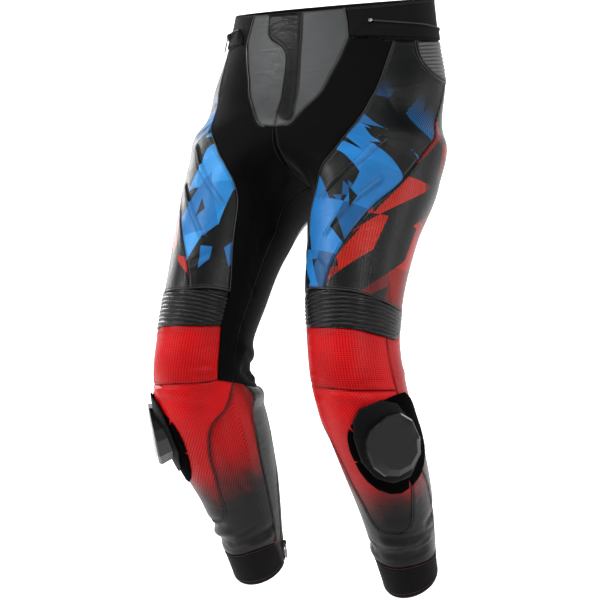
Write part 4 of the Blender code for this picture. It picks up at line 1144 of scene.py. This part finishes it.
def line_frames(line, pitch, lift, side, place=surface, shift=0.0):
    """Places at an even pitch along a line, each with axes across, along and out."""
    point, normal = on_cloth(line, lift, side, place, FRAME_STEP)
    run = np.concatenate([[0], np.cumsum(np.linalg.norm(np.diff(point, axis=0), axis=1))])
    stops = np.arange(pitch / 2 + shift, run[-1], pitch)
    at, ahead, behind, out = (
        np.stack([np.interp(stops + shift, run, values[:, i]) for i in range(3)], -1)
        for shift, values in ((0.0, point), (NEAR, point), (-NEAR, point), (0.0, normal)))
    down = ahead - behind
    down /= np.linalg.norm(down, axis=1, keepdims=True)
    out -= down * np.sum(out * down, axis=1, keepdims=True)
    out /= np.linalg.norm(out, axis=1, keepdims=True)
    return at, np.stack([np.cross(down, out), down, out], 1)


STITCH = 3.6             # mm from stitch to stitch, about 7 to the inch
STITCH_SHARE = 0.72      # of that which is thread
THREAD = 0.85            # real thread is 0.5 mm thick and is drawn thicker so that it shows


def add_stitches(name, runs, finish):
    """Rows of stitches; a run is a line or a seam's name, an offset, and a place and sides of its own."""
    origins, axes = [], []
    for line, offset, *own in runs:
        place, sides = own or (surface, BOTH)
        line = offset_line(seam(line) if isinstance(line, str) else line, offset)
        for side in sides:
            at, frames = line_frames(line, STITCH, STITCH_LIFT, side, place)
            origins.append(at)
            axes.append(frames)
    joined_copies(name, thread_shape(STITCH * STITCH_SHARE, THREAD), np.vstack(origins), np.vstack(axes),
                  finish)


# ---------------------------------------------------------------- fittings
def add_piece(name, bm, to_place, finish, body, replaces=(), mirrored=False, sharp=35.0):
    """Turns a small solid's faces outward, moves it from its own mm axes to its place, and adds it."""
    bm.transform(to_place)
    if mirrored:
        bmesh.ops.scale(bm, verts=bm.verts, vec=(-1, 1, 1))
    bmesh.ops.recalc_face_normals(bm, faces=bm.faces[:])
    mesh = smooth_mesh("scene_" + name, bm)
    mesh.set_sharp_from_angle(angle=math.radians(sharp))
    mesh.materials.append(finish)
    piece = add_object(name, mesh)
    declare(piece, body)
    for node in replaces:
        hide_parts(node)


def axes_matrix(origin, across, down, out):
    """From a fitting's own mm axes to metres in the shared frame."""
    axes = Matrix([Vector(axis) for axis in (across, down, out)]).transposed().to_4x4()
    axes.translation = Vector(origin)
    return Matrix.Scale(MM, 4) @ axes


def slider_matrix(place, here, lower, lift):
    """The axes of a fitting that stands on the cloth at one point and points down towards another."""
    origin, out = place(*here)
    down = place(*lower)[0] - origin
    down -= out * np.dot(down, out)
    down /= np.linalg.norm(down)
    return axes_matrix(origin + out * lift, np.cross(down, out), down, out)


def raised(bm, face, height):
    """Extrudes one face and returns the face at its end."""
    grown = bmesh.ops.extrude_face_region(bm, geom=[face])["geom"]
    bmesh.ops.translate(bm, verts=of_kind(grown, bmesh.types.BMVert), vec=(0, 0, height))
    return of_kind(grown, bmesh.types.BMFace)[0]


def softened(bm, geom, width, segments=2):
    bmesh.ops.bevel(bm, geom=geom, offset=width, offset_type="OFFSET", segments=segments, profile=0.5,
                    affect="EDGES", material=-1, clamp_overlap=True)


def flat_plate(outline, base, thick, bevel, upright=False):
    """A plate cut to an outline; upright, the outline is along and up, and the plate stands across."""
    bm = bmesh.new()
    face = bm.faces.new([bm.verts.new((x, y, 0)) for x, y in outline])
    raised(bm, face, thick)
    softened(bm, bm.edges[:], bevel)
    bmesh.ops.translate(bm, verts=bm.verts, vec=(0, 0, base))
    if upright:
        bm.transform(Matrix(((0, 0, 1), (1, 0, 0), (0, 1, 0))).to_4x4())
    return bm


def merged(*parts):
    """One bmesh of several closed solids."""
    whole = bmesh.new()
    for part in parts:
        mesh = bpy.data.meshes.new("scratch")
        part.to_mesh(mesh)
        whole.from_mesh(mesh)
        part.free()
        bpy.data.meshes.remove(mesh)
    return whole


def pin(radius, length, height):
    """A cylinder across the slider."""
    bm = bmesh.new()
    bmesh.ops.create_cone(bm, cap_ends=True, segments=12, radius1=radius, radius2=radius, depth=length)
    bm.transform(Matrix.Rotation(math.pi / 2, 4, "Y"))
    bmesh.ops.translate(bm, verts=bm.verts, vec=(0, 0, height))
    return bm


SLIDER_WIDE = 8.0
SLIDER_FLOOR = 1.8
SLIDER_EAR = 1.3
PULL_AXIS = 3.4
PULL_THICK = 1.6
SLIDER_PLAN = ((-4, -2.6), (-2.8, -4), (2.8, -4), (4, -2.6), (4, 3), (3.2, 8), (-3.2, 8), (-4, 3))
EAR_SIDE = ((-3.9, 1.5), (-3.2, 3.6), (-1.6, 5.0), (2.4, 5.0), (4.6, 3.8), (6.0, 1.5))
NECK_PLAN = ((-2.2, -1.2), (2.2, -1.2), (2.2, 10.5), (3.2, 12.6), (-3.2, 12.6), (-2.2, 10.5))
GRIP_PLAN = ((-3.0, 10.6), (3.0, 10.6), (3.5, 12.0), (3.5, 24.0), (2.5, 26.2), (0.9, 27.0), (-0.9, 27.0),
             (-2.5, 26.2), (-3.5, 24.0), (-3.5, 12.0))


def add_slider_and_pull(name, tail, to_place, pull_body, mirrored, grip_finish):
    """A die-cast slider with two ears and a pin, a metal neck that turns on it, and a moulded grip."""
    ears = [flat_plate(EAR_SIDE, x, SLIDER_EAR, 0.3, upright=True)
            for x in (-SLIDER_WIDE / 2, SLIDER_WIDE / 2 - SLIDER_EAR)]
    body = merged(flat_plate(SLIDER_PLAN, 0, SLIDER_FLOOR, 0.45), *ears,
                  pin(0.55, SLIDER_WIDE - 1, PULL_AXIS))
    add_piece(f"{name}_slider{tail}_metal", body, to_place, DARK_ENAMEL, BODY,
              [f"{name}_slider{tail}"], mirrored)
    base = PULL_AXIS - PULL_THICK / 2
    neck = flat_plate(NECK_PLAN, base + 0.15, PULL_THICK - 0.3, 0.4)
    add_piece(f"{name}_pull{tail}_neck", neck, to_place, DARK_ENAMEL, pull_body,
              [f"{name}_pull{tail}"], mirrored)
    grip = merged(flat_plate(GRIP_PLAN, base, PULL_THICK, 0.5),
                  *[flat_plate(((-2.4, y), (2.4, y), (2.4, y + 1.1), (-2.4, y + 1.1)), base - 0.25,
                               PULL_THICK + 0.5, 0.25) for y in (15.0, 18.0, 21.0)])
    add_piece(f"{name}_pull{tail}_grip", grip, to_place, grip_finish, pull_body, (), mirrored)


def zip_line():
    return [point for point in smooth_line(SEAMS["calf zip"], 4.0) if ZIP_TOP < point[1] < HEM - ZIP_STOP]


TAPE_GAP = 0.3           # between the tape's edge and the leather's
TOOTH_BEVEL = 0.22
CALF_TOOTH = (2.0, 1.25, 1.3)    # width, length and height of a tooth
JACKET_TOOTH = (2.2, 1.3, 1.5)
TOOTH_ROW = 0.55         # from the zip's middle to each row of teeth
TOOTH_LIFT = -0.5        # middle of a tooth below the leather's face
TOOTH_PITCH = 2.6        # a medium zip's teeth stand about 2 mm apart and are drawn wider so that they show


def tooth_shape(wide, long, tall):
    bm = bmesh.new()
    bmesh.ops.create_cube(bm, size=1.0)
    bmesh.ops.scale(bm, verts=bm.verts, vec=(wide, long, tall))
    softened(bm, bm.edges[:], TOOTH_BEVEL, 1)
    bmesh.ops.triangulate(bm, faces=bm.faces[:])
    return bm


def add_calf_zips():
    stop = HEM - ZIP_STOP
    sides = []
    for way in (-1, 1):
        edge = [(theta - way * degrees_for(TAPE_GAP, along), along) for theta, along in zip_edge(way)]
        sides.append([point for point in edge if point[1] < stop] + [on_line(edge, stop)])
    outline = chain(sides[0], sides[1][::-1])
    add_panel("calf_zip", outline, ZIP_TAPE, ZIP_TAPE_THICK, lift=-ZIP_SINK, roll=(0.0, 1.0),
              columns=1.6, rows=5.0)
    for side in BOTH:
        origins, axes = [], []
        for across, shift in ((-TOOTH_ROW, 0.0), (TOOTH_ROW, TOOTH_PITCH / 2)):
            at, frames = line_frames(offset_line(zip_line(), across), TOOTH_PITCH, TOOTH_LIFT, side,
                                     surface, shift)
            origins.append(at)
            axes.append(frames)
        joined_copies(f"calf_zip_teeth_{side}", tooth_shape(*CALF_TOOTH), np.vstack(origins),
                      np.vstack(axes), ZIP_TEETH)
    here, lower = (on_line(SEAMS["calf zip"], SLIDER_ALONG + drop) for drop in (0, PULL_DROP))
    for side in BOTH:
        to_place = slider_matrix(surface, here, lower, TEETH_RISE - ZIP_SINK + LAY_GAP)
        add_slider_and_pull("calf_zip", "_" + side, to_place, f"calf_pull_{side}", side == "right",
                            PULL_GRIP)


def strip_edges():
    """The jacket strip's top and bottom edges, from its end on the wearer's left round the back."""
    rows = [(180 - bearing, top, low) for bearing, top, low in JACKET_STRIP[::-1]]
    rows += [(180 + bearing, top, low) for bearing, top, low in JACKET_STRIP[1:]]
    return [(bearing, top) for bearing, top, _ in rows], [(bearing, low) for bearing, _, low in rows]


STRIP_LINES = (
    # rise, distance below the strip's top, half width
    (1.3, 3.2, 1.8),      # welt over the zip's chain
    (-0.5, 7.0, 1.0),     # groove under it
)


def strip_relief(theta, along, edge):
    bearing, top = np.array(strip_edges()[0]).T
    drop = along - np.interp(theta, bearing, top)
    return sum(rise * np.exp(-((drop - down) / half)**2) for rise, down, half in STRIP_LINES)


def add_jacket_zip():
    top, low = strip_edges()
    lift = LAY_GAP + JACKET_WALL
    add_panel("jacket_zip", chain(top, low[::-1]), STRIP_CLOTH, JACKET_WALL, lift=lift,
              place=torso_surface, sides=WHOLE, relief=strip_relief, roll=(0.6, 1.2), rows=1.6)
    inner = [(bearing, along + 0.9) for bearing, along in top[1:-1]]
    at, frames = line_frames(inner, TOOTH_PITCH, lift + 0.5, "", torso_surface)
    joined_copies("jacket_zip_teeth", tooth_shape(*JACKET_TOOTH), at, frames, ZIP_TEETH)
    bearing, along = top[1]
    to_place = slider_matrix(torso_surface, (bearing + 1.2, along + 1.5), top[0], lift + 0.3)
    add_piece("jacket_zip_stop", flat_plate(((-2, -3), (2, -3), (2, 3), (-2, 3)), 0, 2.0, 0.6), to_place,
              BRIGHT_METAL, BODY)
    bearing, along = JACKET_SLIDER
    to_place = slider_matrix(torso_surface, JACKET_SLIDER, (bearing, along + PULL_DROP), lift + LAY_GAP)
    add_slider_and_pull("jacket_zip", "", to_place, "jacket_pull", False, DARK_ENAMEL)


PLATE_LIFT = LAY_GAP + FELT_WALL + PLATE_GAP + PLATE_WALL
PUCK_LIFT = PLATE_LIFT + LAY_GAP


def puck_outline(scale, parts=1):
    """The slider's outline in theta and along; parts divides each of its straight sides."""
    points = []
    for start, end in zip(PUCK_OUTLINE, PUCK_OUTLINE[1:] + PUCK_OUTLINE[:1]):
        for i in range(parts):
            across, down = ((a + (b - a) * i / parts) * scale for a, b in zip(start, end))
            along = PUCK_ALONG + down
            points.append((PUCK_THETA + degrees_for(across, along), along))
    return points


def add_knee_slider():
    add_panel("slider_plate", puck_outline(PLATE_SCALE, 4), PLATE_PLASTIC, PLATE_WALL,
              lift=PLATE_LIFT, roll=(0.5, 1.0))
    middle, out = surface(PUCK_THETA, PUCK_ALONG)
    down = surface(PUCK_THETA, PUCK_ALONG + 1)[0] - surface(PUCK_THETA, PUCK_ALONG - 1)[0]
    down -= out * np.dot(down, out)
    down /= np.linalg.norm(down)
    across = np.cross(out, down)
    for side in BOTH:
        bm = bmesh.new()
        foot = PUCK_RINGS[0][0]
        face = bm.faces.new([bm.verts.new((x * foot, y * foot, 0)) for x, y in PUCK_OUTLINE])
        base = list(bm.verts)
        for (last, _, last_lean), (scale, height, lean) in zip(PUCK_RINGS, PUCK_RINGS[1:]):
            face = raised(bm, face, 1.0)
            for vertex in face.verts:
                x, y = (vertex.co.x - last_lean) * scale / last, vertex.co.y * scale / last
                vertex.co = (x + lean, y, height * (1 + PUCK_TILT * y / PUCK_HALF))
        softened(bm, [edge for edge in bm.edges if not any(vertex in base for vertex in edge.verts)],
                 PUCK_SOFT)
        for vertex in base:
            vertex.co.z = foot_height(vertex.co, middle, across, down, out)
        add_piece(f"slider_puck_{side}_moulding", bm,
                  axes_matrix(middle + out * PUCK_LIFT, across, down, out), SLIDER_PLASTIC,
                  BODY, [f"slider_puck_{side}"], side == "right", sharp=PUCK_SHARP)


def foot_height(local, middle, across, down, out):
    """How far the slider's underside is from its own base plane, where it follows the knee."""
    along = PUCK_ALONG + local.y
    point, _ = surface(PUCK_THETA + degrees_for(local.x, along), along)
    return float(np.dot(point - middle, out))


# ---------------------------------------------------------------- the panels
def waistband_outline():
    """By bearing from centre front, round the back to the same seam on the other side."""
    half = joined("band end", "band bottom front", "band bottom side", "band bottom back")
    left = [(theta + 90, along) for theta, along in half]
    return chain(left, [(360 - bearing, along) for bearing, along in left[::-1]])


def tuck_relief(theta, along, edge):
    """The two raised tucks, with a shallow groove along each foot."""
    total = np.zeros_like(theta)
    for _, theta0, along0, theta1, along1 in TUCKS:
        side, run = line_reach(theta, along, (theta0, along0), (theta1, along1))
        inside = smooth_step((run + TUCK_OVER) / TUCK_FADE) * smooth_step((1 + TUCK_OVER - run) / TUCK_FADE)
        foot = TUCK_GROOVE * inside * np.exp(-((np.abs(side) - TUCK_HALF) / TUCK_GROOVE_HALF)**2)
        total += TUCK_RISE * np.exp(-(side / TUCK_ROUND)**2) * inside - foot
    return total


def rib_relief(start, end):
    """Round ribs between two distances along, with narrow valleys."""
    pitch = (end - start) / RIB_COUNT

    def relief(theta, along, edge):
        place = np.clip((along - start) / pitch, 0, RIB_COUNT - 1e-6) % 1
        return (RIB_RISE + RIB_SINK) * np.sqrt(np.maximum(1 - (2 * place - 1)**2, 0)) - RIB_SINK
    return relief


add_panel("yoke",
          joined("band end", seam_snapped("yoke edge"), centre_line(0.0, CROTCH_FRONT, -1)[::-1]),
          GREY_COWHIDE)
add_panel("waistband", waistband_outline(), BAND_CLOTH, BAND,
          place=torso_surface, sides=WHOLE)
add_panel("front_stretch",
          joined("band bottom front", "thigh front", "knee rib inner", "knee upper inner", "knee seam inner",
                 [(-180, CROTCH)], centre_line(CROTCH_FRONT, CROTCH, -1)[::-1],
                 seam_snapped("yoke edge")[::-1]),
          STRETCH_CLOTH, STRETCH)
add_panel("back_stretch",
          joined(seam_snapped("seat edge"), centre_line(SEAT_POINT, CROTCH, 1), [(180, 610)],
                 "knee hollow inner", [zip_edge(1)[0], zip_edge(-1)[0]], "-calf top back",
                 "-side back lower"),
          STRETCH_CLOTH, STRETCH)
add_panel("seat",
          joined(seam_snapped("hip rib back"), centre_line(HIP_FOOT, SEAT_POINT, 1),
                 seam_snapped("seat edge")[::-1], "-side back middle", "-side back upper"),
          CHARCOAL_COWHIDE)
add_panel("thigh",
          joined("band bottom side", "hip rib front", "diagonal", "-knee rib top inner", "-thigh front"),
          THIGH_PRINT, relief=tuck_relief, rows=TUCK_CELL, columns=TUCK_CELL)
add_panel("outer_thigh",
          joined("hip rib side", "side back upper", "-outer thigh bottom", "-knee rib top outer",
                 "-diagonal"),
          OUTER_PRINT)
add_panel("hip_accordion",
          joined(seam_snapped("band bottom back"), centre_line(HIP_TOP, HIP_FOOT, 1),
                 seam_snapped("hip rib back")[::-1], "-hip rib side", "-hip rib front"),
          HIP_RIB_COWHIDE, relief=rib_relief(*HIP_RIBS), rows=RIB_ROW)
add_panel("knee_accordion",
          joined("knee rib top inner", "knee rib top outer", "knee rib end", "knee rib bottom",
                 "-knee rib inner"),
          RIB_COWHIDE, relief=rib_relief(*KNEE_RIBS), rows=RIB_ROW)
add_panel("knee_upper", joined("knee rib bottom", "knee upper inner", "-knee seam", "-outer vertical"),
          KNEE_RED)
add_panel("shin", joined("knee seam", "knee seam inner", "shin edge", "shin outer"),
          SHIN_RED)
add_panel("calf_wrap",
          joined(seam("knee hollow inner", -360), seam("inner calf", -360), "-cuff top", "-outer calf",
                 "-shin edge"),
          WRAP_RED)
add_panel("calf_side",
          joined("-knee rib end", "outer thigh bottom", "side back middle", "side back lower",
                 "side back calf", "-cuff top side", "-outer calf", "shin outer", "-outer vertical"),
          SIDE_RED)
add_panel("calf_back",
          joined("calf top back", zip_edge(-1, ZIP_TOP, CUFF_SEAM), seam("cuff top back")[-2::-1],
                 "-side back calf"),
          CHARCOAL_COWHIDE)
add_panel("calf_placket", joined("inner calf", "placket foot", zip_edge(1)[::-1]), BLACK_COWHIDE)
add_panel("cuff",
          joined(seam("cuff top back")[-2::-1], "-cuff top side", "cuff top", seam("placket foot", -360),
                 zip_edge(-1, CUFF_SEAM, HEM)[::-1]),
          CUFF_CLOTH, CUFF)
add_panel("fly", FLY_OUTLINE, FLY_COWHIDE, FLY_WALL, lift=LAY_GAP + FLY_WALL,
          place=torso_surface, sides=WHOLE)
add_panel("knee_felt", FELT_OUTLINE, FELT, FELT_WALL, lift=LAY_GAP + FELT_WALL)

add_calf_zips()
add_jacket_zip()
add_knee_slider()

# ---------------------------------------------------------------- seams
RIM = [(bearing, 3.2) for bearing in range(36, 325, 6)]
CUFF_HEM = [(theta, HEM - 8.0) for theta in range(-204, 142, 12)]
CUFF_TACK = [(171.0, 886.5), (175.5, 886.5), (180.0, 886.5)]    # at the placket's edge
FLY_LINE = FLY_OUTLINE[:-1]


def fly_surface(bearing, along):
    point, normal = torso_surface(bearing, along)
    return point + normal * (LAY_GAP + FLY_WALL), normal


TUCK_POINTS = 7          # of a tuck's stitching


def stitched_tuck(theta0, along0, theta1, along1):
    """The line of a tuck, as points between its ends."""
    return [(theta0 + (theta1 - theta0) * share, along0 + (along1 - along0) * share)
            for share in (i / (TUCK_POINTS - 1) for i in range(TUCK_POINTS))]


HIP_EDGE = seam("hip rib front") + seam("hip rib side")[1:] + seam("hip rib back")[1:]
KNEE_EDGE = seam("knee rib top inner") + seam("knee rib top outer")[1:]
add_piping("yoke_piping", [seam("yoke edge"), seam("band end")], 1.1)
add_piping("thigh_piping", [seam("thigh front")], 0.9, lift=0.0)
add_piping("hip_rib_binding", [HIP_EDGE, offset_line(HIP_EDGE, -4.2)], 1.7, lift=0.5)
add_piping("knee_rib_binding", [offset_line(KNEE_EDGE, 1.5)], 1.5)
add_piping("fly_piping", [FLY_LINE], 0.55, lift=-0.3, place=fly_surface, sides=WHOLE)
add_piping("shin_piping", [seam("shin edge")], 0.7, lift=-0.1)

FLY_OWN = (fly_surface, WHOLE)
add_stitches("black_stitches", [
    ("yoke edge", -3.4), ("yoke edge", 3.0), ("thigh front", 3.4), ("side back upper", -3.2),
    ("side back upper", 3.2), ("side back calf", 3.2), ("seat edge", 3.0), ("shin edge", 3.2),
    ("shin edge", -3.0), ("calf top back", 3.0), (FLY_LINE, -3.4, *FLY_OWN), (FLY_LINE, -7.0, *FLY_OWN),
    (centre_line(CROTCH_FRONT, CROTCH - 4, -1), 2.6),
    (centre_line(HIP_FOOT + 4, SEAT_POINT - 4, 1), -3.0),
], BLACK_THREAD)
add_stitches("grey_stitches", [
    (offset_line(HIP_EDGE, -8.0), 0.0), ("diagonal", -3.4), ("diagonal", 3.4), (KNEE_EDGE, 5.0),
], GREY_THREAD)
add_stitches("tuck_stitches", [
    (stitched_tuck(*ends), offset) for _, *ends in TUCKS for offset in (-TUCK_HALF, TUCK_HALF)
], GREY_THREAD)
add_stitches("rim_stitches", [(RIM, 0.0, torso_surface, WHOLE)], BLACK_THREAD)
add_stitches("red_stitches", [
    ("knee seam", -3.0), ("outer vertical", 2.6), (CUFF_TACK, -0.8), (CUFF_TACK, 0.0), (CUFF_TACK, 0.8),
], RED_THREAD)
add_stitches("brown_stitches", [
    ("knee rib bottom", 4.0), ("knee rib bottom", 8.0), ("outer calf", -2.6), ("inner calf", 2.4),
    ("cuff top", 1.6), ("cuff top side", -1.6), ("cuff top back", -1.6), (zip_edge(1), 2.2),
    (zip_edge(-1), -2.2), (CUFF_HEM, 0.0),
], BROWN_THREAD)

# ---------------------------------------------------------------- camera, floor and lights
CAMERA_AZIMUTH = math.radians(30.7)
CAMERA_ELEVATION = math.radians(0.44)
CAMERA_REACH = 3.262
CAMERA_SIDE = -0.0538     # aim's offset to the camera's right
AIM_HEIGHT = -0.4427
LENS_MM = 124.3
FLOOR = -0.905
FLOOR_REACH = 4.0         # radius of its flat part, in metres
SWEEP = ((0.06, 1.10), (0.35, 1.25), (0.9, 1.35), (2.2, 1.42), (5.0, 1.45))   # rise, and reach over that
GLOW_NEAR, GLOW_FAR = -0.8, 0.4      # m behind the trousers, from the unlit floor to the lit backdrop
GLOW_HALF = 1.25          # m to each side, as far as that is lit in full
GLOW_SPREAD = 3.2         # over which its light falls to GLOW_LEAST
GLOW_LEAST = 0.3
FLOOR_GLOW = (0.05, 1.0)  # its light, in front of the trousers and behind them


def add_camera():
    right = Vector((math.cos(CAMERA_AZIMUTH), math.sin(CAMERA_AZIMUTH), 0))
    level = math.cos(CAMERA_ELEVATION)
    away = Vector((-math.sin(CAMERA_AZIMUTH) * level, math.cos(CAMERA_AZIMUTH) * level,
                   -math.sin(CAMERA_ELEVATION)))
    aim = right * CAMERA_SIDE + Vector((0, 0, AIM_HEIGHT))
    data = bpy.data.cameras.new("camera")
    data.lens, data.sensor_width, data.clip_end = LENS_MM, 36, 30
    camera = add_object("camera", data)
    camera.location = aim - away * CAMERA_REACH
    camera.rotation_euler = away.to_track_quat("-Z", "Y").to_euler()
    bpy.context.scene.camera = camera


def add_floor():
    """A pale sweep: the floor runs back and curves up behind the trousers, all round. It glows behind the
    trousers, which is painted light, and is dimmer and greyer in front of them, which is painted shade.
    """
    bm = bmesh.new()
    bmesh.ops.create_circle(bm, cap_ends=True, radius=FLOOR_REACH, segments=96)
    for rise, reach in SWEEP:
        grown = bmesh.ops.extrude_edge_only(bm, edges=[edge for edge in bm.edges if edge.is_boundary])
        for vertex in of_kind(grown["geom"], bmesh.types.BMVert):
            flat = vertex.co.xy.normalized() * FLOOR_REACH * reach
            vertex.co = (flat.x, flat.y, rise)
    bmesh.ops.reverse_faces(bm, faces=[face for face in bm.faces if face.normal.z < 0])
    bmesh.ops.translate(bm, verts=bm.verts, vec=(0, 0, FLOOR))
    mesh = smooth_mesh("floor", bm)
    paper, tree, shader = new_finish("paper_with_painted_glow_and_shade", "#f6f6f6", Roughness=0.9, Specular_IOR_Level=0.1)
    shader.inputs["Emission Color"].default_value = srgb("#ffffff")
    turn_x, turn_y = math.cos(CAMERA_AZIMUTH), math.sin(CAMERA_AZIMUTH)
    place = object_position(tree)
    behind, beside = (vector_node(tree, "DOT_PRODUCT", place, way, output="Value")
                      for way in ((-turn_y, turn_x, 0.0), (turn_x, turn_y, 0.0)))
    beside = ramp(tree, math_node(tree, "ABSOLUTE", beside), GLOW_HALF, GLOW_HALF * GLOW_SPREAD, 1.0,
                  GLOW_LEAST)
    lit = math_node(tree, "MULTIPLY", ramp(tree, behind, GLOW_NEAR, GLOW_FAR), beside)
    # painted light: the paper glows behind the trousers; painted shade: it is greyer in front of them
    tree.links.new(ramp(tree, lit, 0.0, 1.0, *FLOOR_GLOW), shader.inputs["Emission Strength"])
    tree.links.new(mixed(tree, lit, srgb("#9c9c9c"), srgb("#f6f6f6")), shader.inputs["Base Color"])
    mesh.materials.append(paper)
    add_object("floor", mesh)


LIGHTS = (
    # light        from x  y     z     size  watts
    ("key",        -1.9, -2.3,  0.9,   0.8,   80),
    ("fill",        2.6, -1.7,  0.4,   0.8,   52),
    ("rim_left",   -2.3,  0.8,  0.2,   0.6,   18),
    ("rim_right",   2.4,  0.9,  0.1,   0.9,   17),
    ("top",         0.2, -1.0,  2.3,   1.0,   34),
)
SKY = 0.02               # strength of the even light from all round


def add_lights():
    aim = Vector((0, 0, AIM_HEIGHT))
    for name, x, y, z, size, watts in LIGHTS:
        data = bpy.data.lights.new(name, "AREA")
        data.size, data.energy = size, watts
        light = add_object(name, data)
        light.location = (x, y, z)
        light.rotation_euler = (aim - light.location).to_track_quat("-Z", "Y").to_euler()
    world = bpy.data.worlds.new("studio")
    world.use_nodes = True
    sky = world.node_tree.nodes["Background"]
    sky.inputs["Color"].default_value = srgb("#ffffff")
    sky.inputs["Strength"].default_value = SKY
    bpy.context.scene.world = world
    bpy.context.scene.view_settings.view_transform = "Standard"


add_camera()
add_floor()
add_lights()
